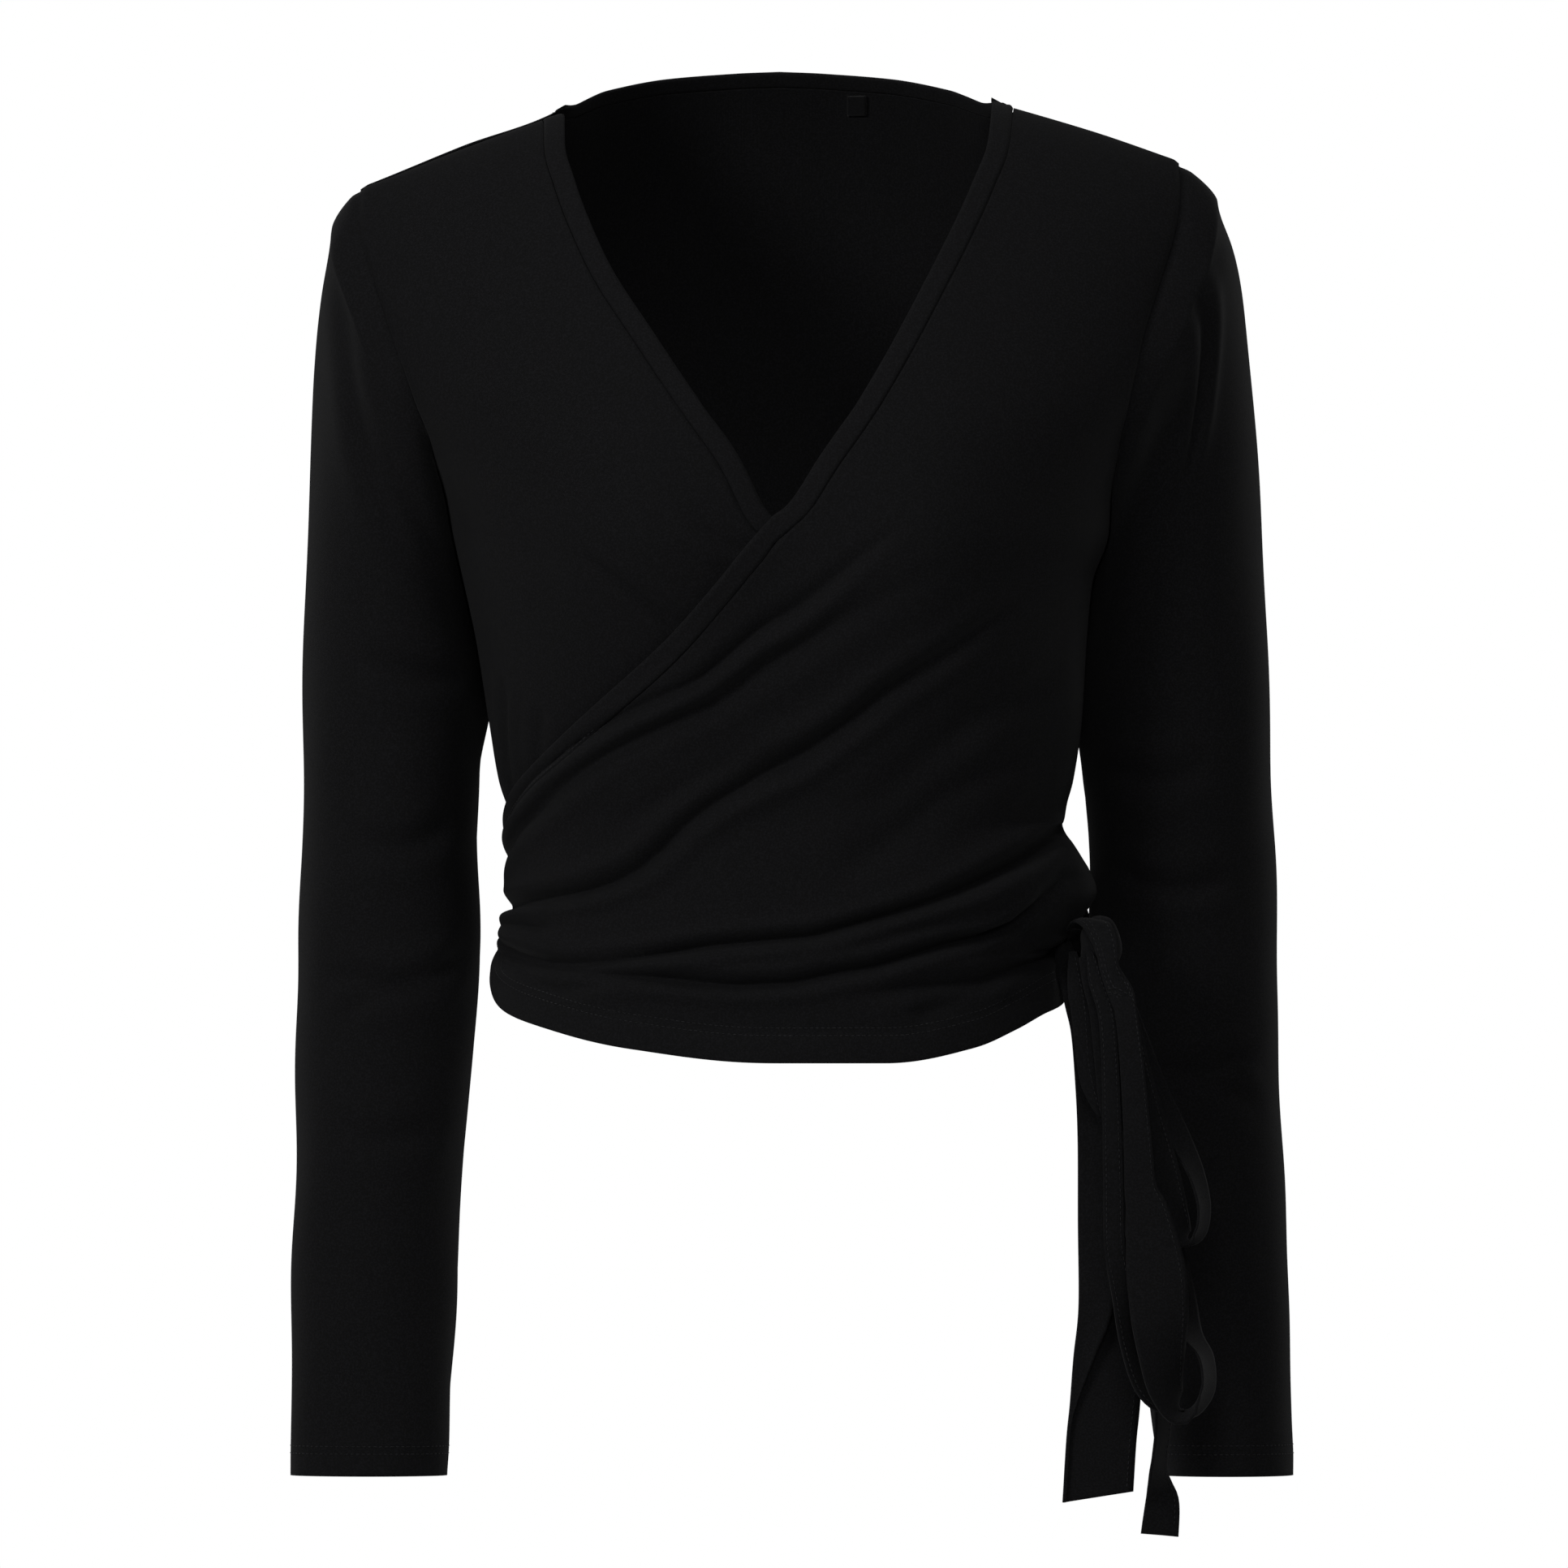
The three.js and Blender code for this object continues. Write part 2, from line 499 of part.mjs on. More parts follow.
// Closes a grid of points with normals into a wall: outer skin, inner skin and rims
function wallGeometry(grid, outward, inward, ring) {
  const rows = grid.length;
  const columns = grid[0].length;
  const positions = [];
  for (const side of [outward, -inward]) {
    for (const row of grid) {
      for (const vertex of row) {
        const moved = vertex.point.clone().addScaledVector(vertex.normal, side);
        positions.push(moved.x, moved.y, moved.z);
      }
    }
  }
  const count = rows * columns;
  const outer = (j, i) => j * columns + (i % columns);
  const inner = (j, i) => count + outer(j, i);
  const faces = [];
  const corner = (k) => cornerAt(positions, k);
  const quad = (a, b, c, d) => {
    const along = corner(a).distanceTo(corner(c));
    const across = corner(b).distanceTo(corner(d));
    if (along <= across) faces.push(a, b, c, a, c, d);
    else faces.push(a, b, d, b, c, d);
  };
  const lastColumn = ring ? columns : columns - 1;
  for (let j = 0; j < rows - 1; j += 1) {
    for (let i = 0; i < lastColumn; i += 1) {
      quad(outer(j, i), outer(j, i + 1), outer(j + 1, i + 1), outer(j + 1, i));
      quad(inner(j, i), inner(j + 1, i), inner(j + 1, i + 1), inner(j, i + 1));
    }
  }
  for (let i = 0; i < lastColumn; i += 1) {
    quad(outer(0, i), inner(0, i), inner(0, i + 1), outer(0, i + 1));
    quad(outer(rows - 1, i), outer(rows - 1, i + 1), inner(rows - 1, i + 1), inner(rows - 1, i));
  }
  if (!ring) {
    for (let j = 0; j < rows - 1; j += 1) {
      quad(outer(j, 0), outer(j + 1, 0), inner(j + 1, 0), inner(j, 0));
      const last = columns - 1;
      quad(outer(j, last), inner(j, last), inner(j + 1, last), outer(j + 1, last));
    }
  }
  return facingOut(positions, faces);
}

// Turns the faces round where the closed shape came out with a negative volume
function facingOut(positions, faces) {
  const corner = (k) => cornerAt(positions, k);
  let volume = 0;
  for (let f = 0; f < faces.length; f += 3) {
    volume += corner(faces[f]).dot(corner(faces[f + 1]).cross(corner(faces[f + 2])));
  }
  const index = volume < 0 ? faces.map((_, f) => faces[f - (f % 3) + (2 - (f % 3))]) : faces;
  const geometry = new THREE.BufferGeometry();
  geometry.setAttribute('position', new THREE.Float32BufferAttribute(positions, 3));
  geometry.setIndex(index);
  geometry.computeVertexNormals();
  return geometry;
}

function piece(name, geometry, finish) {
  const mesh = new THREE.Mesh(geometry, new THREE.MeshStandardMaterial(finish));
  mesh.name = name;
  return mesh;
}

// The line that lies a distance inside a bound edge, measured along the cloth
function insideLine(marks, distance) {
  const edge = edgeLine(marks);
  const step = 0.5 / EDGE_SAMPLES;
  const side = Math.sign(marks[marks.length - 1].x);
  const rows = [];
  for (let k = 0; k <= EDGE_SAMPLES; k += 1) {
    const t = k / EDGE_SAMPLES;
    const here = edge(t);
    const ahead = edge(Math.min(t + step, 1));
    const before = edge(Math.max(t - step, 0));
    const way = bodyPoint(ahead.turn, ahead.z).sub(bodyPoint(before.turn, before.z)).normalize();
    const aside = bodyNormal(here.turn, here.z).cross(way).normalize().multiplyScalar(-side);
    const moved = bodyPoint(here.turn, here.z).addScaledVector(aside, distance);
    const kept = ease(SIDE_TURN.from, SIDE_TURN.to, Math.abs(here.turn));
    const turn = mix(turnAt(moved.x, moved.z), here.turn, kept);
    rows.push({ t, turn, z: Math.min(moved.z, shoulderHeight(moved.x, false)) });
  }
  const turnCurve = tableCurve(rows, 't', 'turn');
  const heightCurve = tableCurve(rows, 't', 'z');
  return (t) => ({ turn: turnCurve(t), z: heightCurve(t) });
}

// The share of a bound edge that a row meets: half lies below the underarm row, half above it
function edgeShare(row) {
  if (row <= EDGE_ROWS) return row / (2 * EDGE_ROWS);
  return 0.5 + (row - EDGE_ROWS) / (2 * ARM_ROWS);
}

// The end of a row on the side seam or on the armhole, counted from the hem
function seamPlace(side, row, hemZ, behind) {
  const seamRows = GATHER_ROWS + EDGE_ROWS;
  if (row === 0) return { turn: side, z: hemZ };
  if (row <= seamRows) return { turn: side, z: SEAM_HEIGHTS[row - 1] };
  return armhole(side)(1 - (row - seamRows) / ARM_ROWS, behind);
}

// A front: rows from its tie end or binding to the side seam and the armhole
function frontPanel(name, spec) {
  const inside = insideLine(spec.edge, BAND + SEAM);
  const hem = tableCurve(HEM_FRONT, 'turn', 'z');
  const seamHem = hem(spec.side) + spec.hemLift;
  const grid = [];
  const first = inside(0);
  for (let j = 0; j <= GATHER_ROWS + EDGE_ROWS + ARM_ROWS; j += 1) {
    const low = j < GATHER_ROWS;
    const up = j / GATHER_ROWS;
    const onTieEnd = { turn: first.turn, z: mix(spec.lowEnd, first.z, up) };
    const start = low ? onTieEnd : inside(edgeShare(j - GATHER_ROWS));
    const end = seamPlace(spec.side, j, seamHem, false);
    const row = [];
    for (let i = 0; i <= spec.columns; i += 1) {
      const place = between(start, end, i / spec.columns);
      if (low) {
        const chord = mix(spec.lowEnd, seamHem, i / spec.columns);
        place.z += (hem(place.turn) + spec.hemLift - chord) * (1 - up) ** 2;
      }
      row.push(lifted(place, spec.lift(place.turn, place.z)));
    }
    grid.push(row);
  }
  drawIn(grid, { end: SEAM / 2, top: SEAM / 2 });
  return piece(name, wallGeometry(grid, CLOTH / 2, CLOTH / 2, false), JERSEY);
}

// A binding: a strip from the bound edge in to the line where its front begins
function bandAlong(name, marks, lift) {
  const edge = edgeLine(marks);
  const inside = insideLine(marks, BAND);
  const grid = [];
  for (const across of [0, 0.5, 1]) {
    const row = [];
    for (let k = 0; k <= EDGE_ROWS + ARM_ROWS; k += 1) {
      const t = edgeShare(k);
      const outer = edge(t);
      const inner = inside(t);
      const place = { turn: mix(outer.turn, inner.turn, across), z: mix(outer.z, inner.z, across) };
      row.push(lifted(place, lift(place.turn, place.z)));
    }
    grid.push(row);
  }
  drawIn(grid, { start: SEAM / 2, end: SEAM / 2 });
  return piece(name, wallGeometry(grid, CLOTH / 2 + BAND_PROUD, CLOTH / 2 - BAND_SHY, false), BINDING);
}

const overLift = (turn, z) => overLayer(turn) + foldLift(turn, z);
const underLift = (turn) => underLayer(turn);

const FRONT_OVER = { edge: OVER_EDGE, side: 1, lowEnd: -388, hemLift: 0, columns: 26, lift: overLift };
const FRONT_UNDER = { edge: UNDER_EDGE, side: -1, lowEnd: -384, hemLift: 6, columns: 17, lift: underLift };

// The armhole seam from the shoulder tip (0) to the underarm (1), in front or behind
function armhole(side) {
  const marks = side < 0 ? ARMHOLE_LEFT : ARMHOLE_RIGHT;
  const tipX = side < 0 ? SHOULDER_TIP.left : SHOULDER_TIP.right;
  const tipZ = shoulderHeight(tipX, false);
  const rows = [{ turn: turnAt(tipX, tipZ), z: tipZ }, ...marks.map(placeOf), { turn: side, z: UNDERARM }]
    .map((place, i, all) => ({ t: i / (all.length - 1), ...place }));
  const turn = tableCurve(rows, 't', 'turn');
  const height = tableCurve(rows, 't', 'z');
  return (down, behind) => {
    const frontTurn = turn(down);
    return { turn: behind ? side * 2 - frontTurn : frontTurn, z: height(down) };
  };
}

function sleeve(name, side, sections) {
  const hole = armhole(side);
  const sectors = 2 * ARM_ROWS;
  const rows = sections.map((row, i) => ({ t: i + 1, ...row }));
  const value = (column) => tableCurve(rows, 't', column);
  const outX = value('outX');
  const outZ = value('outZ');
  const inX = value('inX');
  const inZ = value('inZ');
  const front = value('front');
  const back = value('back');
  const lean = value('lean');
  const grid = [];
  for (let t = 0; t <= sections.length; t += 1) {
    const row = [];
    const join = ease(0, JOIN_RINGS, t);
    for (let k = 0; k < sectors; k += 1) {
      const turned = (k / sectors) * 2 * Math.PI;
      const angle = turned > Math.PI ? turned - 2 * Math.PI : turned;
      const centre = new THREE.Vector3((outX(t) + inX(t)) / 2, lean(t), (outZ(t) + inZ(t)) / 2);
      const reach = new THREE.Vector3((outX(t) - inX(t)) / 2, 0, (outZ(t) - inZ(t)) / 2);
      const depth = angle > 0 ? -front(t) : -back(t);
      const onRing = centre.addScaledVector(reach, Math.cos(angle));
      onRing.y += depth * Math.sin(angle);
      const place = hole(Math.abs(angle) / Math.PI, angle < 0);
      const atHole = bodyPoint(place.turn, place.z);
      const point = t === 0 ? atHole : atHole.add(capShift(sections, side, t, angle)).lerp(onRing, join);
      row.push({ point, normal: bodyNormal(place.turn, place.z) });
    }
    grid.push(row);
  }
  ringNormals(grid, 1);
  grid[0].forEach((vertex, k) => {
    const underarm = nearUnderarm((k / sectors) * 2 * Math.PI);
    vertex.point.addScaledVector(vertex.normal, CLOTH / 2);
    vertex.point.x += side * (CAP_CLEAR + UNDERARM_CLEAR * underarm);
  });
  return piece(name, wallGeometry(grid, 0, CLOTH, true), JERSEY);
}

// 1 at the underarm, falling to 0 at the shoulder tip
const nearUnderarm = (angle) => (0.5 - 0.5 * Math.cos(angle)) ** 3;

// How far the cap has moved away from the armhole at a ring that is still shaped by it
function capShift(sections, side, t, angle) {
  const tip = side < 0 ? SHOULDER_TIP.left : SHOULDER_TIP.right;
  const shift = Math.abs(sections[0].outX - tip) * (0.5 + 0.5 * Math.cos(angle));
  const drawn = UNDERARM_IN * t * nearUnderarm(angle);
  return new THREE.Vector3(side * (shift * Math.min(t, 1) - drawn), 0, -RING_DROP * t);
}

// Normals of a ring grid from its neighbours, pointing away from each ring's centre
function ringNormals(grid, from) {
  const columns = grid[0].length;
  for (let j = from; j < grid.length; j += 1) {
    const centre = new THREE.Vector3();
    for (const vertex of grid[j]) centre.addScaledVector(vertex.point, 1 / columns);
    const below = grid[Math.min(j + 1, grid.length - 1)];
    const above = grid[Math.max(j - 1, 0)];
    for (let i = 0; i < columns; i += 1) {
      const next = grid[j][(i + 1) % columns].point;
      const around = next.clone().sub(grid[j][(i + columns - 1) % columns].point);
      const along = below[i].point.clone().sub(above[i].point);
      const normal = around.cross(along).normalize();
      if (normal.dot(grid[j][i].point.clone().sub(centre)) < 0) normal.negate();
      grid[j][i].normal = normal;
    }
  }
}

// The bound edge of the back neck, from the viewer's right neck point to the left one
function backNeckEdge() {
  const neckDrop = tableCurve(BACK_NECK, 'out', 'drop');
  return Array.from({ length: NECK_COLUMNS + 1 }, (_, k) => {
    const across = 0.5 - 0.5 * Math.cos((Math.PI * k) / NECK_COLUMNS);
    const x = mix(NECK_POINT.right, NECK_POINT.left, across);
    const z = shoulderHeight(x, true) - neckDrop(Math.abs(x));
    return { turn: 2 - turnAt(x, z), z };
  });
}

// The same edge moved down the cloth by a distance
function belowNeckEdge(distance) {
  const edge = backNeckEdge();
  return edge.map((place, k) => {
    const ahead = edge[Math.min(k + 1, edge.length - 1)];
    const before = edge[Math.max(k - 1, 0)];
    const way = bodyPoint(ahead.turn, ahead.z).sub(bodyPoint(before.turn, before.z)).normalize();
    const aside = bodyNormal(place.turn, place.z).cross(way).normalize();
    if (aside.z > 0) aside.negate();
    const moved = bodyPoint(place.turn, place.z).addScaledVector(aside, distance);
    const z = Math.min(moved.z, shoulderHeight(moved.x, true));
    return { turn: 2 - turnAt(moved.x, z), z };
  });
}

// Where the columns of the back's top row lie, from the viewer's right shoulder tip to the left one
function backTopPlaces() {
  const neck = belowNeckEdge(BACK_BAND + SEAM);
  const shoulder = (from, to, count) => Array.from({ length: count }, (_, k) => {
    const x = mix(from, to, k / count);
    const z = shoulderHeight(x, true);
    return { turn: 2 - turnAt(x, z), z };
  });
  const rightX = bodyX(neck[0].turn, neck[0].z);
  const leftX = bodyX(neck[NECK_COLUMNS].turn, neck[NECK_COLUMNS].z);
  const leftShoulder = shoulder(SHOULDER_TIP.left, leftX, SHOULDER_COLUMNS).reverse();
  return [...shoulder(SHOULDER_TIP.right, rightX, SHOULDER_COLUMNS), ...neck, ...leftShoulder];
}

function backPanel() {
  const hem = tableCurve(HEM_BACK, 'turn', 'z');
  const rows = GATHER_ROWS + EDGE_ROWS + ARM_ROWS;
  const top = backTopPlaces();
  const columns = top.length - 1;
  const grid = [];
  for (let j = 0; j <= rows; j += 1) {
    const start = seamPlace(1, j, hem(1), true);
    const far = seamPlace(-1, j, hem(3), true);
    const end = { turn: 4 + far.turn, z: far.z };
    const nearHem = Math.max(1 - j / GATHER_ROWS, 0) ** 2;
    const nearTop = Math.max((j - GATHER_ROWS) / (rows - GATHER_ROWS), 0) ** 2;
    const row = [];
    for (let i = 0; i <= columns; i += 1) {
      const place = between(start, end, i / columns);
      const chord = mix(hem(1), hem(3), i / columns);
      place.z += (hem(place.turn) - chord) * nearHem;
      const lastRow = between(top[0], top[columns], i / columns);
      place.turn += (top[i].turn - lastRow.turn) * nearTop;
      place.z += (top[i].z - lastRow.z) * nearTop;
      row.push(lifted(place, 0));
    }
    grid.push(row);
  }
  drawIn(grid, { start: SEAM / 2, end: SEAM / 2, top: SEAM / 2 });
  return piece('back_panel', wallGeometry(grid, CLOTH / 2, CLOTH / 2, false), JERSEY);
}

// The back binding runs from one neck point to the other along the top edge of the back
function backBand() {
  const grid = [BACK_BAND, BACK_BAND / 2, 0].map((distance) => {
    const places = distance === 0 ? backNeckEdge() : belowNeckEdge(distance);
    return places.map((place) => lifted(place, 0));
  });
  drawIn(grid, { start: SEAM, end: SEAM });
  return piece('band_back', wallGeometry(grid, CLOTH / 2, CLOTH / 2, false), BINDING);
}

// A flat strap through its stations; the flat side faces the front where turn is 0
function strap(name, route, steps) {
  const stations = route.map((row) => (row.z === AT_KNOT ? { ...row, z: underKnot(row) } : row));
  const marks = stations.map((row) => new THREE.Vector3(row.x, row.y, row.z));
  const centre = new THREE.CatmullRomCurve3(marks, false, 'centripetal');
  const rows = stations.map((row, i) => ({ t: i / (stations.length - 1), ...row }));
  const widthAt = tableCurve(rows, 't', 'width');
  const turnedAt = tableCurve(rows, 't', 'turn');
  const grid = [];
  for (let k = 0; k <= steps; k += 1) {
    const t = k / steps;
    const point = centre.getPoint(t);
    const tangent = centre.getTangent(t).normalize();
    const angle = THREE.MathUtils.degToRad(turnedAt(t));
    const across = new THREE.Vector3(Math.cos(angle), Math.sin(angle), 0);
    across.addScaledVector(tangent, -across.dot(tangent)).normalize();
    const normal = across.clone().cross(tangent).normalize();
    const half = widthAt(t) / 2;
    grid.push([-half, half].map((out) => ({ point: point.clone().addScaledVector(across, out), normal })));
  }
  return piece(name, wallGeometry(grid, STRAP / 2, STRAP / 2, false), JERSEY);
}

// The long tie leaves the over front behind the viewer's left side and crosses the back
function tieBack() {
  const stations = [
    { turn: TIE_END - TIE_GAP, z: -370.5, tall: 34 },
    { turn: -1.8, z: -371, tall: STRAP_WIDTH },
    { turn: -2.3, z: -376, tall: STRAP_WIDTH },
    { turn: -2.75, z: -383, tall: 28 },
    { turn: -3, z: -391, tall: 20 },
    { turn: -3.08, z: -392, tall: 18 },
  ].map((row, i, all) => ({ t: i / (all.length - 1), ...row }));
  const turn = tableCurve(stations, 't', 'turn');
  const height = tableCurve(stations, 't', 'z');
  const tall = tableCurve(stations, 't', 'tall');
  const steps = 26;
  const grid = [];
  for (let k = 0; k <= steps; k += 1) {
    const t = k / steps;
    grid.push([-0.5, 0.5].map((edge) => {
      const place = { turn: turn(t), z: height(t) + edge * tall(t) };
      return lifted(place, LAYER);
    }));
  }
  for (const end of TIE_BACK_END) {
    const normal = new THREE.Vector3(TIE_BACK_END_FACE.x, TIE_BACK_END_FACE.y, 0);
    grid.push([-0.5, 0.5].map((edge) => ({
      point: new THREE.Vector3(end.x, end.y, end.z + edge * end.tall), normal,
    })));
  }
  return piece('tie_back', wallGeometry(grid, STRAP / 2, STRAP / 2, false), JERSEY);
}

// The short tie comes from under the over front at the side seam
function tieSide() {
  const last = TIE_SIDE[TIE_SIDE.length - 1];
  const way = new THREE.Vector3(last.x - TIE_SIDE[0].x, last.y - TIE_SIDE[0].y, 0).normalize();
  const normal = way.cross(new THREE.Vector3(0, 0, 1));
  const grid = TIE_SIDE.map((row) => [-0.5, 0.5].map((edge) => ({
    point: new THREE.Vector3(row.x, row.y, row.z + edge * row.tall), normal,
  })));
  return piece('tie_side', wallGeometry(grid, STRAP / 2, STRAP / 2, false), JERSEY);
}

// Height just under the lowest part of the knot that lies over a strap's end
function underKnot(row) {
  const x = THREE.MathUtils.clamp(KNOT.x, row.x - row.width / 2, row.x + row.width / 2);
  const y = THREE.MathUtils.clamp(KNOT.y, row.y - STRAP / 2, row.y + STRAP / 2);
  const aside = (x - KNOT.x) / KNOT.halfX;
  const ahead = (y - KNOT.y) / KNOT.halfY;
  const swell = 1 + (KNOT.lobe / KNOT.halfX) * (1 - ahead ** 2);
  return KNOT.z - KNOT.halfZ * swell * Math.sqrt(1 - aside ** 2 - ahead ** 2) - KNOT_GAP;
}

// The knot is a rounded lump with the swell of the strap that wraps it
function knot() {
  const ball = new THREE.SphereGeometry(1, 16, 8);
  const position = ball.attributes.position;
  const points = [];
  const index = [];
  const seen = new Map();
  const remap = [];
  for (let k = 0; k < position.count; k += 1) {
    const unit = new THREE.Vector3().fromBufferAttribute(position, k);
    const key = [unit.x, unit.y, unit.z].map((value) => value.toFixed(4)).join();
    if (!seen.has(key)) {
      seen.set(key, points.length / 3);
      const wave = Math.cos(KNOT.lobes * Math.atan2(unit.z, unit.x));
      const swell = 1 + (KNOT.lobe / KNOT.halfX) * wave * (1 - unit.y ** 2);
      points.push(KNOT.x + unit.x * KNOT.halfX * swell, KNOT.y + unit.y * KNOT.halfY,
        KNOT.z + unit.z * KNOT.halfZ * swell);
    }
    remap.push(seen.get(key));
  }
  for (let f = 0; f < ball.index.count; f += 3) {
    const face = [0, 1, 2].map((k) => remap[ball.index.getX(f + k)]);
    if (face[0] !== face[1] && face[1] !== face[2] && face[2] !== face[0]) index.push(...face);
  }
  return piece('tie_knot', facingOut(points, index), JERSEY);
}

// The small loop of tape that hangs inside the back neck, just clear of the cloth
function neckTab() {
  const grid = [];
  for (const up of [0, 1]) {
    const row = [];
    for (const along of [-0.5, 0.5]) {
      const x = NECK_TAB.x + along * NECK_TAB.wide;
      const z = NECK_TAB.z - NECK_TAB.tall * (1 - up);
      const turn = 2 - turnAt(x, z);
      row.push(lifted({ turn, z }, -(CLOTH / 2 + NECK_TAB.clear + NECK_TAB.thick / 2)));
    }
    grid.push(row);
  }
  return piece('neck_tab', wallGeometry(grid, NECK_TAB.thick / 2, NECK_TAB.thick / 2, false), BINDING);
}

const wrapTop = new THREE.Group();
wrapTop.add(
  backPanel(),
  frontPanel('front_under', FRONT_UNDER),
  frontPanel('front_over', FRONT_OVER),
  sleeve('sleeve_left', -1, SLEEVE_LEFT),
  sleeve('sleeve_right', 1, SLEEVE_RIGHT),
  backBand(),
  bandAlong('band_under', UNDER_EDGE, underLift),
  bandAlong('band_over', OVER_EDGE, overLift),
  tieBack(),
  tieSide(),
  knot(),
  strap('tie_loop_upper', LOOP_UPPER, 26),
  strap('tie_loop_lower', LOOP_LOWER, 30),
  strap('tie_tail_broad', TAIL_BROAD, 12),
  strap('tie_tail_narrow', TAIL_NARROW, 14),
  neckTab(),
);

export default wrapTop;
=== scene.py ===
"""The look of a worn black jersey wrap top: cloth shells, bindings, ties, stitching and studio.

Tables and sizes are in millimetres in the part's own frame; meshes are written in metres.
A "turn" counts quarter turns round the body: 0 is the front, 1 the viewer's right side seam,
-1 the viewer's left side seam and 2 the back.
"""
import logging
import math
from dataclasses import dataclass
from enum import Enum
from typing import Callable, NamedTuple

import bpy
import numpy as np
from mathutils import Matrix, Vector


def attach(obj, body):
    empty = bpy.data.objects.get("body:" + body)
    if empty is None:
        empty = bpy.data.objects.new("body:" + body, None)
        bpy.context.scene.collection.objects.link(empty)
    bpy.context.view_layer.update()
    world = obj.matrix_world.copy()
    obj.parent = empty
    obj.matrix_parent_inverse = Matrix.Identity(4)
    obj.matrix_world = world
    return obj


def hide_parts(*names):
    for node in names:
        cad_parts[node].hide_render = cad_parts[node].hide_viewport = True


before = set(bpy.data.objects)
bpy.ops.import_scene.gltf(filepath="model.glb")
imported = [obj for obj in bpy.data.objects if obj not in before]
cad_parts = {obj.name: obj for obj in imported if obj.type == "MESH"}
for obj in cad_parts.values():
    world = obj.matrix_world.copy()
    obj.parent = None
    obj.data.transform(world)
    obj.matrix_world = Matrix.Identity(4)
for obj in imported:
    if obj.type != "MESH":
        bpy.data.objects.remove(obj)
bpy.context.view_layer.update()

MM = 0.001
SEED = 7

CLOTH = 1.1  # thickness of the jersey
LAYER = 4.4  # the over front stands this far off the under front
BAND = 10.0  # width of the front neck binding
BACK_BAND = 8.5  # width of the back neck binding
SEAM = 0.3  # gap between two sewn pieces
STRAP_WIDTH = 32.0  # cut width of the flat tie
HEM_STITCHES = (13.0, 16.6)  # heights of the twin rows above a hem
HEM_FLARE = 2.0  # how far the edge of a hem stands out
QUARTER = 182.0  # cloth in a quarter turn of the waist
UNDERARM = -181.0
ARM_REST = (150, 190, 268, 312)  # drops between which a sleeve presses against the body
ARM_PRESS = 5.0  # how far it would go into the body there
ARM_CLEAR = 1.6  # from the middle of the body's cloth to the sleeve's face
CAP_ROUND = 1.5  # how quickly a sleeve's cap leaves the shoulder seam
LIFT_FROM, LIFT_SHARE = 85.0, 0.08  # the viewer's right shoulder slopes less
NECK_LEFT, NECK_RIGHT = -101.0, 99.4
TIP_LEFT, TIP_RIGHT = -196.0, 187.0
TIE_END = -1.42
GATHER_ROWS, EDGE_ROWS, ARM_ROWS = 10, 11, 8

log = logging.getLogger("wrap_top")


class Ring(NamedTuple):
    """Half widths of the body at a height, and how square it is there."""

    z: float
    left: float
    right: float
    square: float


class Depth(NamedTuple):
    """Depth before and behind the side, by the root of the drop below the shoulder."""

    root: float
    front: float
    back: float


class Shoulder(NamedTuple):
    """Height of the shoulder line and the neck base, by the way out."""

    out: float
    front: float
    back: float


class Section(NamedTuple):
    """A sleeve ring: its outer and inner points, its depth both ways and how far it leans back."""

    out_x: float
    out_z: float
    in_x: float
    in_z: float
    front: float
    back: float
    lean: float


class Station(NamedTuple):
    """A place on a strap: its middle, its width, how far it is turned and its folded flap."""

    x: float
    y: float
    z: float
    width: float
    turn: float
    flap: float = 0.0


class Fold(NamedTuple):
    """A trough along a route, with the swell of cloth above and below it."""

    route: tuple
    half: float
    deep: float
    above: float
    below: float


BODY_WIDTH = (
    Ring(-450, 126, 130, 2.35), Ring(-415, 128, 131, 2.35), Ring(-398, 126, 129, 2.3),
    Ring(-385, 124.5, 134, 2.3), Ring(-375, 121.5, 143, 2.3), Ring(-366, 120.5, 148, 2.3),
    Ring(-357, 121.5, 145, 2.3), Ring(-345, 122, 137, 2.3), Ring(-334, 124, 132, 2.3),
    Ring(-314, 130.5, 137, 2.3), Ring(-286, 135.5, 141, 2.35), Ring(-248, 141.5, 143.5, 2.4),
    Ring(-222, 147, 146, 2.45), Ring(-200, 152, 153.5, 2.6), Ring(-181, 156, 155.5, 2.75),
    Ring(-158, 166, 164, 2.9), Ring(-139, 178, 174, 3), Ring(-117, 190, 183, 3),
    Ring(-94, 199, 190, 3), Ring(-60, 208, 198.5, 3), Ring(-37, 212, 202, 3),
    Ring(0, 215, 205, 3), Ring(80, 218, 208, 3),
)
BODY_DEPTH = tuple(
    Depth(math.sqrt(drop), front, back)
    for drop, front, back in (
        (0, 0, 0), (4, 15, 14), (12, 28, 26), (28, 44, 42), (55, 62, 62), (90, 80, 80),
        (130, 97, 92), (170, 107, 98), (210, 110, 99), (260, 105, 94), (300, 98, 85),
        (340, 94, 78), (380, 97, 79), (420, 102, 84), (520, 106, 90),
    )
)
SHOULDER_LINE = (
    Shoulder(0, 12, 68), Shoulder(21, 12, 66.5), Shoulder(53, 10, 52), Shoulder(80, 7, 27),
    Shoulder(100, 0, 1), Shoulder(148, -17.5, -17.5), Shoulder(196, -37, -37),
    Shoulder(230, -49, -49),
)
BUST_X, BUST_Z, BUST_WIDE, BUST_TALL, BUST_DEEP = 72, -212, 48, 58, 13

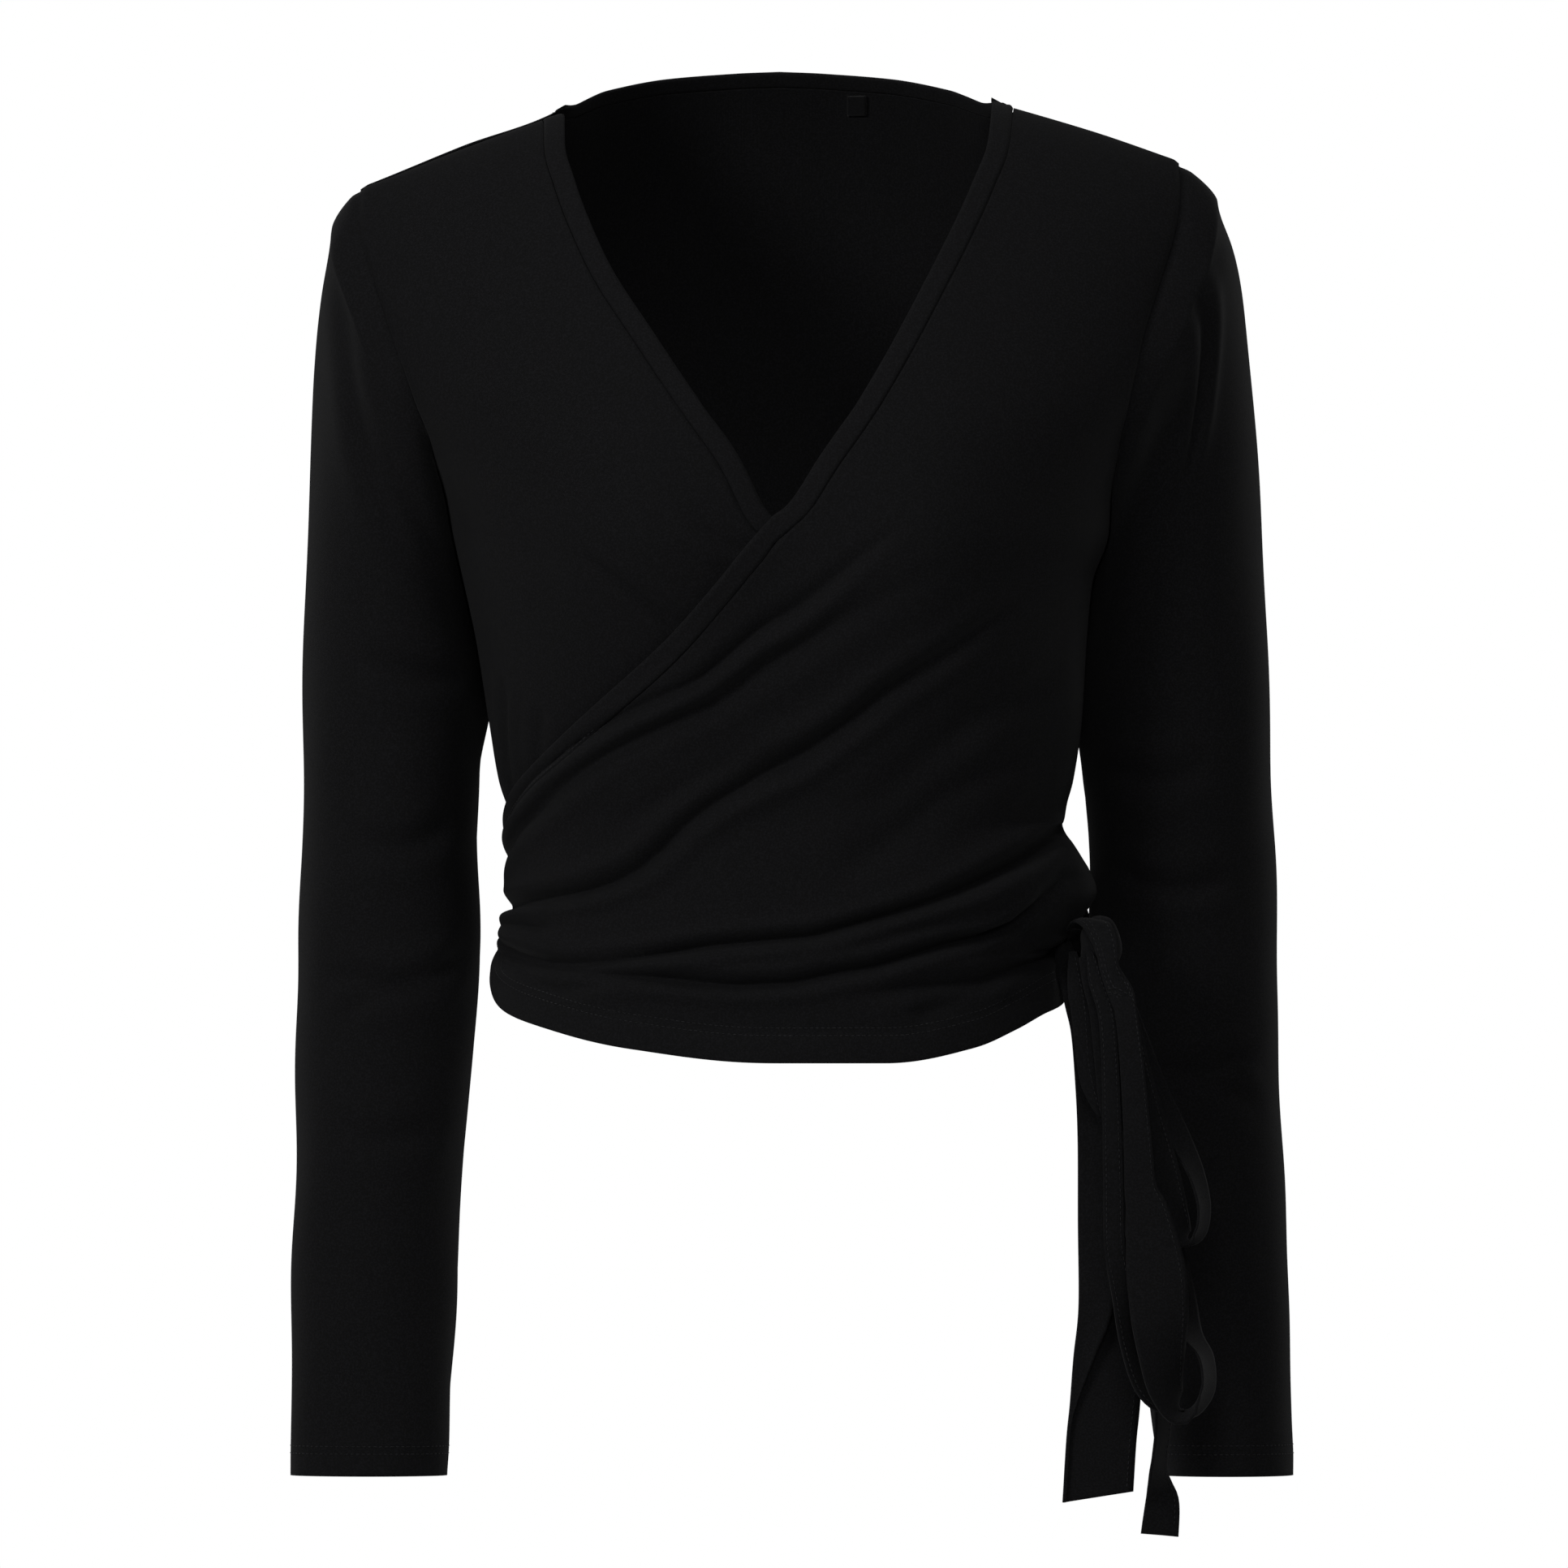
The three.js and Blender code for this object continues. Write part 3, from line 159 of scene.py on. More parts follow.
ARMHOLE_LEFT = ((-196, -60), (-185.5, -94), (-177.5, -118), (-170, -139.5), (-162.6, -158))
ARMHOLE_RIGHT = ((186.2, -51), (176.7, -84), (170, -106), (165, -128), (159.6, -152))
HEM_FRONT = (
    (-1.42, -388), (-1, -403), (-0.78, -419), (-0.56, -429), (-0.3, -439), (0, -445.5),
    (0.2, -445.5), (0.42, -438.5), (0.56, -430), (0.7, -422), (1, -414),
)
HEM_BACK = ((1, -412), (1.5, -424), (2, -430), (2.5, -420), (3, -398))
SEAM_GATHER = -325.0  # height on the side seams of the row that starts at a front's tie end
BACK_NECK = ((0, 48.6), (21, 48), (53, 36.4), (80, 17.2), (94, 4), (100, 0), (230, 0))

# Bound edges in the front view; the first marks lie round the side and are given as turns
OVER_ROUND = ((-1.42, -353), (-1.2, -344), (-1, -334))
OVER_EDGE = (
    (-116, -310.5), (-91.2, -284.6), (-46.4, -242), (-3.2, -192), (20.9, -161.5),
    (54.3, -108.3), (71.1, -76), (89.7, -36.5), (97, -17), (99.4, 4),
)
UNDER_ROUND = ((0.96, -336),)
UNDER_EDGE = (
    (112, -313), (84, -283), (60, -258), (36, -232.5), (16, -211.5), (-3.2, -192),
    (-19.8, -161.5), (-57, -107.5), (-79.8, -71.8), (-95.4, -34.2), (-100.4, -16), (-101, -1),
)

SLEEVE_LEFT = (
    Section(-209.5, -59, -155.4, -199, 50, 48, 8), Section(-216, -92, -150.5, -212, 52, 50, 14),
    Section(-218.5, -130, -146.4, -228, 52, 51, 20), Section(-220.5, -175, -142, -246, 50, 50, 24),
    Section(-222, -230, -139.2, -268, 47, 48, 26), Section(-223.5, -290, -139.8, -302, 45, 46, 27),
    Section(-224, -345, -141.3, -345, 43, 44, 27), Section(-226, -392, -140, -386, 42, 42, 27),
    Section(-226.6, -440, -143.5, -440, 40, 39, 26), Section(-227.6, -500, -148.4, -500, 36, 35, 24),
    Section(-228.8, -560, -151.6, -560, 31, 30, 22), Section(-229.2, -610, -154, -610, 27, 26, 20),
    Section(-229.2, -640, -155.4, -640, 25, 24, 19),
)
SLEEVE_RIGHT = (
    Section(205.5, -42, 160.8, -199, 50, 48, 8), Section(214.5, -64, 151.3, -211, 52, 50, 14),
    Section(218.4, -96, 146.4, -226, 52, 51, 20), Section(222.4, -140, 144.2, -243, 50, 50, 24),
    Section(226.2, -190, 142.8, -262, 48, 49, 26), Section(229, -240, 141.5, -284, 46, 47, 27),
    Section(231.5, -298, 142.4, -308, 45, 45, 29), Section(232.3, -340, 144.8, -340, 43, 43, 33),
    Section(232.9, -366, 145.2, -362, 42.5, 42, 35), Section(233.7, -392, 145.4, -385, 42, 41, 35),
    Section(235, -440, 152, -440, 39, 38, 32), Section(237, -500, 160, -500, 36, 35, 28),
    Section(239.6, -570, 168, -570, 33, 32, 24), Section(241, -610, 174, -610, 32, 31, 22),
    Section(241, -640, 179, -640, 31, 30, 21),
)

# The straps of the bow, from the knot down
TAIL_BROAD = (
    Station(140, -36, -390, 20, 0, 6), Station(141.4, -40, -400, 22, 0, 9), Station(143.4, -46, -409, 22, 0, 12),
    Station(145.2, -49, -417, 22, 0, 14), Station(148.4, -49.5, -430, 22.6, 0, 15), Station(151, -49, -452, 24, 0, 16),
    Station(153.8, -48.5, -480, 27, 0, 17), Station(155.2, -48.5, -520, 29.5, 0, 18),
    Station(156.2, -48.5, -560, 31, 0, 14.5), Station(154, -48, -585, 31.5, 0, 8),
    Station(152.4, -48, -606, 31.5, 0, 2), Station(150.8, -48, -622, 31.5, 0, 0),
    Station(149.2, -48, -648, 31.5, 0, 0),
)
TAIL_NARROW = (
    Station(153, -52, -405, 14, 0), Station(160, -53, -450, 17, 0), Station(170, -53.5, -530, 17, 20),
    Station(177.6, -54, -590, 17, 58), Station(178.9, -54, -612, 17, 64),
    Station(177.4, -54, -628, 17, 66), Station(176.6, -54, -636, 17, 62),
    Station(177.4, -54, -643, 17, 46), Station(178.4, -54, -651, 17, 22), Station(177.2, -54, -665.6, 17.6, 2),
)
STRAND = (
    Station(143.9, -66, -391.8, 1.5, 0), Station(145.6, -68, -399, 5, 0), Station(147.6, -70, -408, 7.2, 0),
    Station(151.8, -72.5, -421, 8, 0), Station(153.4, -73.5, -436, 8, 0), Station(154.4, -74, -460, 8.6, 0),
    Station(155.4, -74.5, -500, 9.6, 0), Station(156, -74.5, -530, 10, 0),
    Station(159.6, -74, -552, 11, 22), Station(163, -73.5, -576, 12, 42), Station(169, -73, -596, 13, 52),
    Station(178, -72.5, -606, 13, 58), Station(188, -72, -607, 12, 60),
)
LOOP_LOWER = (
    Station(155.6, -72.5, -405, 9, 0), Station(159, -75, -413, 11.5, 0), Station(161, -77, -421, 10.4, 0),
    Station(163.6, -79, -443, 11, 0),
    Station(166.6, -80, -481, 13, 0), Station(167.9, -80.5, -503, 15, 0), Station(170.8, -81, -514, 20, 0),
    Station(173.5, -81.5, -530, 25, 0), Station(175.3, -82, -544, 28, 0), Station(176.6, -82, -560, 27.6, 8),
    Station(177.6, -81.5, -578, 26, 30), Station(179.6, -80, -595, 24, 46), Station(185.6, -76, -607, 22, 60),
    Station(194, -71, -605.5, 20, 68), Station(199.6, -67, -596, 19, 70), Station(198.4, -64, -582, 18, 66),
    Station(191, -62, -570, 18, 50), Station(184, -60, -548, 18, 20), Station(172, -59, -500, 17, 0),
    Station(162, -58.5, -450, 15, 0), Station(154, -58, -405, 12, 0),
)
LOOP_UPPER = (
    Station(158.6, -66, -412, 12, 0), Station(161.6, -67.5, -428, 13, 0), Station(166, -69.5, -450, 14, 0),
    Station(172.6, -71, -475, 15, 0), Station(178.6, -72, -498, 16, 8), Station(184, -72, -517, 15, 30),
    Station(189.5, -70.5, -528, 13, 52), Station(196, -68.5, -524, 12, 62), Station(197.6, -67, -512, 12, 60),
    Station(194, -65.6, -497, 12, 50), Station(187, -64.5, -482, 12, 30), Station(176, -63.5, -460, 12, 8),
    Station(166, -62.5, -434, 11, 0), Station(157, -61.5, -408, 10, 0),
)
# The strap that is wrapped over the knot, and the short tie from the side seam
KNOT_WRAP = (
    Station(138, -47, -384, 9, 24), Station(142, -56, -380, 11, 14), Station(147.4, -65, -382, 12, -4),
    Station(151, -69.5, -388, 11.4, -12), Station(152.8, -71.5, -395, 10, -14), Station(153.6, -72.5, -401, 9, -8),
    Station(155.8, -73, -407, 10, 0), Station(158.6, -74.3, -413, 11.2, 0), Station(160.8, -74.8, -420, 9.6, 0),
)
# Two plies that show between the broad tail and the strand
PLY_LEFT = (
    Station(136.8, -52, -394, 3.4, 12), Station(137.8, -56, -403, 7, 12), Station(139.4, -59.5, -413, 10, 8), Station(140.6, -60.5, -421, 9.8, 4),
    Station(142.4, -61, -443, 8.4, 0), Station(144.4, -61.5, -455, 8, 0), Station(147.6, -62, -465, 5, 0),
    Station(150.4, -62, -471, 2, 0),
)
PLY_MIDDLE = (
    Station(143.4, -62, -396, 8, 10), Station(145.6, -64, -408, 9, 10), Station(149.2, -66, -421, 10, 8),
    Station(151.4, -67, -443, 10, 6), Station(153.4, -67, -462, 10, 0), Station(153.6, -67, -472, 7, 0),
)
JOIN_STITCHES = (
    ((153.8, -410.8), (155.8, -410.3), (159.6, -411.9), (163.4, -414.2)),
    ((153.4, -412.6), (156.9, -413.3), (160, -414.6), (163, -416.6)),
)
KNOT_BODY = (149.5, -55.5, -392.5)

# Folds of the over front, routed in the front view; past the side they follow the cloth round
OVER_FOLDS = (
    Fold(((68, -185), (27, -219), (-6, -242), (-35, -265), (-52, -273), (-83, -290), (-104, -306), (-119, -323),
          (-127, -344), (-150, -352)), 3.0, 4.2, 0.6, 2.6),
    Fold(((84, -208), (69, -219), (36, -235), (21, -244), (-6, -259), (-27, -275), (-44, -283), (-62, -292),
          (-83, -304), (-100, -319), (-114, -336), (-125, -354), (-190, -364)), 4.4, 3.6, 1.6, 1.4),
    Fold(((122, -222), (106, -233), (77, -254), (50, -271), (36, -283), (15, -298), (-6, -311), (-27, -323),
          (-40, -333), (-54, -348), (-64, -356), (-83, -365), (-110, -371), (-125, -375), (-190, -371)),
         3.8, 4.8, 2.4, 2.2),
    Fold(((132, -334), (125, -342), (109, -353), (88, -363), (69, -370), (52, -376), (36, -381), (21, -386),
          (-6, -389), (-35, -392), (-54, -396), (-79, -399), (-100, -399), (-117, -394), (-129, -386), (-190, -374)),
         2.9, 4.8, 1.6, 2.6),
    Fold(((146, -362), (129, -361), (121, -366), (111, -375), (96, -384), (69, -392), (48, -400), (25, -404),
          (-2, -409), (-27, -409), (-54, -406), (-83, -405), (-102, -403), (-119, -398), (-129, -393), (-190, -378)),
         3.0, 4.8, 2.0, 2.2),
    Fold(((142, -379), (138, -381), (125, -394), (113, -400), (94, -406), (73, -409), (46, -412), (27, -417)),
         3.4, 4.2, 1.4, 1.6),
    Fold(((104, -395), (119, -392), (129, -389), (139, -382)), 2.6, 2.4, 0.8, 0.8),
    Fold(((-66, -411), (-75, -411), (-100, -411), (-114, -404), (-126, -398)), 2.6, 2.6, 0.8, 1.0),
    Fold(((-150, -383), (-131, -384), (-114, -383), (-94, -385)), 2.6, 3.0, 1.2, 1.2),
    Fold(((100, -408), (94, -411), (73, -418), (56, -425)), 5.0, 2.2, 0.8, 0.8),
    Fold(((132, -262), (119, -271), (94, -281), (69, -302), (48, -321), (25, -340)), 8.0, 1.8, 0.9, 0.7),
    Fold(((118, -296), (104, -304), (77, -319), (56, -338), (36, -354), (15, -373)), 7.0, 1.8, 0.9, 0.7),
    Fold(((134, -333), (115, -350), (91, -361), (61, -374)), 4.0, 2.0, 1.6, 0.8),
    Fold(((20, -292), (-16, -306), (-44, -319), (-78, -338)), 6.0, 1.6, 0.8, 1.2),
)
UNDER_FOLDS = (
    Fold(((-96, -206), (-73, -223), (-60, -233), (-40, -248)), 2.8, 2.8, 0.8, 1.4),
    Fold(((-45, -191), (-32, -199), (-14, -212)), 3.6, 1.6, 0.6, 1.0),
    Fold(((-128, -262), (-127, -300), (-121, -330)), 4.5, 1.6, 1.0, 1.0),
    Fold(((-110, -276), (-112, -300), (-112, -316)), 4.0, 1.2, 0.8, 0.6),
    Fold(((-152, -190), (-120, -205), (-96, -222)), 9.0, 1.4, 0.8, 0.8),
)
# The back isn't shown: soft folds of the same kind, routed as seen from the front
BACK_FOLDS = (
    Fold(((-150, -186), (-110, -214), (-60, -236)), 8.0, 2.2, 1.0, 1.4),
    Fold(((150, -190), (112, -222), (70, -240)), 8.0, 2.0, 1.0, 1.4),
    Fold(((-130, -292), (-70, -304), (0, -300), (50, -306)), 7.0, 2.6, 1.4, 1.8),
    Fold(((132, -318), (84, -322), (30, -330), (-30, -326)), 6.0, 2.8, 1.2, 1.8),
    Fold(((-126, -340), (-60, -346), (10, -352)), 6.0, 2.6, 1.2, 1.6),
    Fold(((138, -352), (100, -350), (60, -356), (20, -366)), 5.0, 3.0, 1.4, 1.8),
)
FLAP_RISE = 3.6  # the free edge of the broad tail stands off this far
PUFF_TOP, PUFF_FULL, PUFF_DEEP, PUFF_EDGE = -190, -325, 4.8, 24
CREASE = 1.5  # 2 makes round troughs, less makes them sharp at the bottom
SOFT_FROM = (3.6, 5.0)  # half widths between which troughs become round
SINK_LIMIT = 2.0  # folds of the over front press this far towards the under front at most


class Curve:
    """A smooth line through the rows of a table that never overshoots them."""

    def __init__(self, at, value):
        """Args: at: where each row lies. value: what each row says."""
        order = np.argsort(np.asarray(at, float))
        self.at = np.asarray(at, float)[order]
        self.value = np.asarray(value, float)[order]
        secant = np.diff(self.value) / np.diff(self.at)
        product = secant[:-1] * secant[1:]
        total = np.where(product > 0, secant[:-1] + secant[1:], 1)
        inner = np.where(product > 0, 2 * product / total, 0)
        self.slope = np.concatenate([secant[:1], inner, secant[-1:]])

    def __call__(self, where) -> np.ndarray:
        """Returns: the table's value at each place, held level beyond its ends."""
        where = np.clip(where, self.at[0], self.at[-1])
        k = np.clip(np.searchsorted(self.at, where, side="right") - 1, 0, len(self.at) - 2)
        span = self.at[k + 1] - self.at[k]
        t = (where - self.at[k]) / span
        rise = t * t * (3 - 2 * t)
        lean = t * (1 - t)
        return (
            self.value[k] * (1 - rise) + self.value[k + 1] * rise
            + span * lean * ((1 - t) * self.slope[k] - t * self.slope[k + 1])
        )


def table_curve(rows, by: str, column: str) -> Curve:
    """Returns: the curve of one column of a table over another."""
    return Curve([getattr(row, by) for row in rows], [getattr(row, column) for row in rows])


def pair_curve(rows) -> Curve:
    """Returns: the curve through pairs of a place and a value."""
    return Curve([row[0] for row in rows], [row[1] for row in rows])


def mix(a, b, t):
    """Returns: the value that lies a share t of the way from a to b."""
    return a + (b - a) * t


def ease(start: float, end: float, value) -> np.ndarray:
    """Returns: 0 up to start, 1 from end on, and a soft step between them."""
    t = np.clip((value - start) / (end - start), 0, 1)
    return t * t * (3 - 2 * t)


def unit(vectors: np.ndarray) -> np.ndarray:
    """Returns: the vectors with length 1."""
    length = np.linalg.norm(vectors, axis=-1, keepdims=True)
    return vectors / np.maximum(length, 1e-9)


class Figure:
    """The general figure that the cloth is shaped over, in millimetres."""

    def __init__(self):
        """Reads the tables once."""
        self.left = table_curve(BODY_WIDTH, "z", "left")
        self.right = table_curve(BODY_WIDTH, "z", "right")
        self.square = table_curve(BODY_WIDTH, "z", "square")
        self.front = table_curve(BODY_DEPTH, "root", "front")
        self.back = table_curve(BODY_DEPTH, "root", "back")
        self.line_front = table_curve(SHOULDER_LINE, "out", "front")
        self.line_back = table_curve(SHOULDER_LINE, "out", "back")

    def shoulder(self, x, behind) -> np.ndarray:
        """Returns: the height of the shoulder line above x, in front or behind."""
        line = np.where(behind, self.line_back(np.abs(x)), self.line_front(np.abs(x)))
        return line + np.maximum(0, x - LIFT_FROM) * LIFT_SHARE

    def across(self, turn, z) -> np.ndarray:
        """Returns: x of the body at a turn and a height."""
        sine = np.sin(turn * math.pi / 2)
        half = np.where(sine < 0, self.left(z), self.right(z))
        return np.sign(sine) * half * np.abs(sine) ** (2 / self.square(z))

    def point(self, turn, z) -> np.ndarray:
        """Returns: the points of the body at turns and heights."""
        turn, z = np.broadcast_arrays(np.asarray(turn, float), np.asarray(z, float))
        cosine = np.cos(turn * math.pi / 2)
        behind = cosine < 0
        x = self.across(turn, z)
        root = np.sqrt(np.maximum(self.shoulder(x, behind) - z, 0))
        mound = np.exp(-((np.abs(x) - BUST_X) / BUST_WIDE) ** 2 - ((z - BUST_Z) / BUST_TALL) ** 2)
        depth = np.where(behind, self.back(root), self.front(root) + BUST_DEEP * mound)
        y = np.where(behind, 1, -1) * depth * np.abs(cosine) ** (2 / self.square(z))
        return np.stack([x, y, z], axis=-1)

    def turn_at(self, x, z) -> np.ndarray:
        """Returns: the turn of a point of the front; past the side it follows the cloth round."""
        half = np.where(np.asarray(x) < 0, self.left(z), self.right(z))
        sine = np.minimum(np.abs(x) / half, 1) ** (self.square(z) / 2)
        beyond = np.maximum(np.abs(x) - half, 0) / QUARTER
        return np.sign(x) * (np.arcsin(sine) * 2 / math.pi + beyond)

    def height_at_drop(self, turn, drop, guess) -> np.ndarray:
        """Returns: the height at a turn that lies a drop below the shoulder line."""
        z = guess
        for _ in range(4):
            z = self.shoulder(self.across(turn, z), np.cos(turn * math.pi / 2) < 0) - drop
        return z

    def drop(self, turn, z) -> np.ndarray:
        """Returns: how far a place lies below the shoulder line."""
        return self.shoulder(self.across(turn, z), np.cos(turn * math.pi / 2) < 0) - z

    def normal(self, turn, z) -> np.ndarray:
        """Returns: outward directions of the body, level along the shoulder line."""
        turn, z = np.broadcast_arrays(np.asarray(turn, float), np.asarray(z, float))
        across = self.point(turn + 0.012, z) - self.point(turn - 0.012, z)
        top = self.shoulder(self.across(turn, z), np.cos(turn * math.pi / 2) < 0)
        down = self.point(turn, z - 1.2) - self.point(turn, np.minimum(z + 1.2, top))
        normal = unit(np.cross(across, down))
        here = self.point(turn, z)
        heart = np.stack([here[..., 0] * 0.5, 0 * z, np.minimum(z - 30, -60)], axis=-1)
        flip = np.sum(normal * (here - heart), axis=-1) < 0
        normal[flip] *= -1
        normal[..., 1] *= ease(0, 6, top - z)
        return unit(normal)


FIGURE = Figure()


class Line:
    """A smooth line of places on the body, from 0 to 1."""

    def __init__(self, turns, heights):
        """Args: turns, heights: the places, evenly spread over the line."""
        share = np.linspace(0, 1, len(turns))
        self.turn = Curve(share, turns)
        self.height = Curve(share, heights)

    def __call__(self, share):
        """Returns: (turns, heights) at shares of the line."""
        return self.turn(share), self.height(share)


def edge_line(round_marks, marks) -> Line:
    """Returns: the line of a bound edge, from its hidden end up to the neck point."""
    turns = [turn for turn, _ in round_marks] + [float(FIGURE.turn_at(x, z)) for x, z in marks]
    return Line(turns, [z for _, z in round_marks] + [z for _, z in marks])


def inside_line(edge: Line, side: float, distance: float) -> Line:
    """Returns: the line that lies a distance inside a bound edge, along the cloth."""
    share = np.linspace(0, 1, 49)
    step = 0.5 / 48
    turn, z = edge(share)
    ahead = FIGURE.point(*edge(np.minimum(share + step, 1)))
    before = FIGURE.point(*edge(np.maximum(share - step, 0)))
    aside = -side * unit(np.cross(FIGURE.normal(turn, z), unit(ahead - before)))
    moved = FIGURE.point(turn, z) + aside * distance
    kept = mix(FIGURE.turn_at(moved[:, 0], moved[:, 2]), turn, ease(0.5, 0.85, np.abs(turn)))
    return Line(kept, np.minimum(moved[:, 2], FIGURE.shoulder(moved[:, 0], False)))


def between(first, last, s):
    """Places between two edges that follow the shoulder line above and level lines below.

    Args: first, last: (turns, heights) of the two ends. s: shares of the way.
    Returns: (turns, heights).
    """
    turn = mix(first[0], last[0], s)
    level = mix(first[1], last[1], s)
    drop = mix(FIGURE.drop(*first), FIGURE.drop(*last), s)
    followed = FIGURE.height_at_drop(turn, drop, level)
    return turn, mix(level, followed, ease(-250, -120, level))


def armhole(side: int) -> Line:
    """Returns: the armhole seam from the shoulder tip to the underarm, seen in front."""
    tip = TIP_LEFT if side < 0 else TIP_RIGHT
    tip_z = float(FIGURE.shoulder(tip, False))
    marks = ((tip, tip_z),) + (ARMHOLE_LEFT if side < 0 else ARMHOLE_RIGHT)
    turns = [float(FIGURE.turn_at(x, z)) for x, z in marks] + [side]
    return Line(turns, [z for _, z in marks] + [UNDERARM])


def smooth_route(marks, count: int) -> np.ndarray:
    """Returns: count points of a smooth line through marks of two or more columns."""
    marks = np.asarray(marks, float)
    way = np.concatenate([[0], np.cumsum(np.linalg.norm(np.diff(marks, axis=0), axis=1))])
    share = np.linspace(0, way[-1], count)
    padded = np.vstack([2 * marks[0] - marks[1], marks, 2 * marks[-1] - marks[-2]])
    k = np.clip(np.searchsorted(way, share, side="right") - 1, 0, len(marks) - 2)
    t = ((share - way[k]) / (way[k + 1] - way[k]))[:, None]
    a, b, c, d = (padded[k + i] for i in range(4))
    return 0.5 * (
        2 * b + (c - a) * t + (2 * a - 5 * b + 4 * c - d) * t**2 + (3 * b - a - 3 * c + d) * t**3
    )


def fold_relief(flat: np.ndarray, folds, to_flat: Callable) -> np.ndarray:
    """How far the cloth rises where folds swell it and falls where they sink.

    Args:
        flat: places on the cloth in its own unrolled millimetres.
        folds: the folds, with routes in the table's own coordinates.
        to_flat: turns route marks into unrolled millimetres.
    Returns: the lift of each place.
    """
    shape = flat.shape[:-1]
    places = flat.reshape(-1, 2)
    lift = np.zeros(len(places))
    for fold in folds:
        route = smooth_route(to_flat(np.asarray(fold.route, float)), 28)
        nearest = np.full(len(places), 1e9)
        signed = np.zeros(len(places))
        along = np.zeros(len(places))
        for k in range(len(route) - 1):
            way = route[k + 1] - route[k]
            size = float(way @ way)
            rel = places - route[k]
            t = np.clip(rel @ way / size, 0, 1)
            off = rel - t[:, None] * way
            distance = np.hypot(off[:, 0], off[:, 1])
            closer = distance < nearest
            side = np.sign(way[0] * rel[:, 1] - way[1] * rel[:, 0]) * (1 if way[0] >= 0 else -1)
            nearest = np.where(closer, distance, nearest)
            signed = np.where(closer, distance * side, signed)
            along = np.where(closer, (k + t) / (len(route) - 1), along)
        fade = ease(0, 0.25, along) * ease(0, 0.25, 1 - along)
        reach = signed / fold.half
        crease = mix(CREASE, 2, ease(*SOFT_FROM, fold.half))
        lift -= fade * fold.deep * np.exp(-(np.abs(reach) ** crease))
        lift += fade * fold.above * np.exp(-((reach - 2.1) / 1.25) ** 2)
        lift += fade * fold.below * np.exp(-((reach + 2.1) / 1.25) ** 2)
    return lift.reshape(shape)


def body_flat(marks: np.ndarray) -> np.ndarray:
    """Returns: front-view marks as unrolled millimetres round the body."""
    return np.stack([FIGURE.turn_at(marks[:, 0], marks[:, 1]) * QUARTER, marks[:, 1]], axis=-1)


def slack(flat: np.ndarray, size: float, deep: float, seed: int) -> np.ndarray:
    """Soft unevenness of cloth that hangs free.

    Args: flat: unrolled places. size: usual wave length. deep: height. seed: for the draw.
    Returns: the lift of each place.
    """
    draw = np.random.default_rng(SEED + seed)
    lift = np.zeros(flat.shape[:-1])
    for _ in range(9):
        way = draw.uniform(0, 2 * math.pi)
        wave = 2 * math.pi / (size * draw.uniform(0.6, 1.7))
        phase = draw.uniform(0, 2 * math.pi)
        lift += np.sin(wave * (flat[..., 0] * math.cos(way) + flat[..., 1] * math.sin(way)) + phase)
    return lift * deep / 3


class Finish(Enum):
    """What each piece of the top is made of."""

    JERSEY = "jersey"
    BINDING = "binding"
    TIE = "tie"
    THREAD = "thread"
    TAPE = "tape"


@dataclass(frozen=True)
class ClothFinish:
    """How one knitted cloth looks close to."""

    colour: str
    speck: str
    roughness: float
    sheen: float
    wale: float
    bump: float


FINISHES = {
    # black viscose jersey with a fine, dry face
    Finish.JERSEY: ClothFinish("#161617", "#1e1e20", 0.85, 0.04, 0.62, 0.35),
    # the same jersey folded into a binding
    Finish.BINDING: ClothFinish("#171718", "#1f1f21", 0.85, 0.04, 0.62, 0.35),
    # the same jersey sewn into flat ties
    Finish.TIE: ClothFinish("#161617", "#1e1e20", 0.85, 0.05, 0.62, 0.35),
    # black polyester thread, its colour set lighter than the cloth as a painted highlight where it lies proud and
    # catches the light
    Finish.THREAD: ClothFinish("#242426", "#303033", 0.5, 0.2, 0.4, 0.0),
    # narrow woven tape of the loop inside the neck
    Finish.TAPE: ClothFinish("#141415", "#1b1b1d", 0.6, 0.15, 0.5, 0.3),
}


def linear(colour: str) -> tuple:
    """Returns: an sRGB hex colour as linear red, green, blue and alpha."""
    parts = [int(colour[i : i + 2], 16) / 255 for i in (1, 3, 5)]
    return tuple(c / 12.92 if c <= 0.04045 else ((c + 0.055) / 1.055) ** 2.4 for c in parts) + (1.0,)


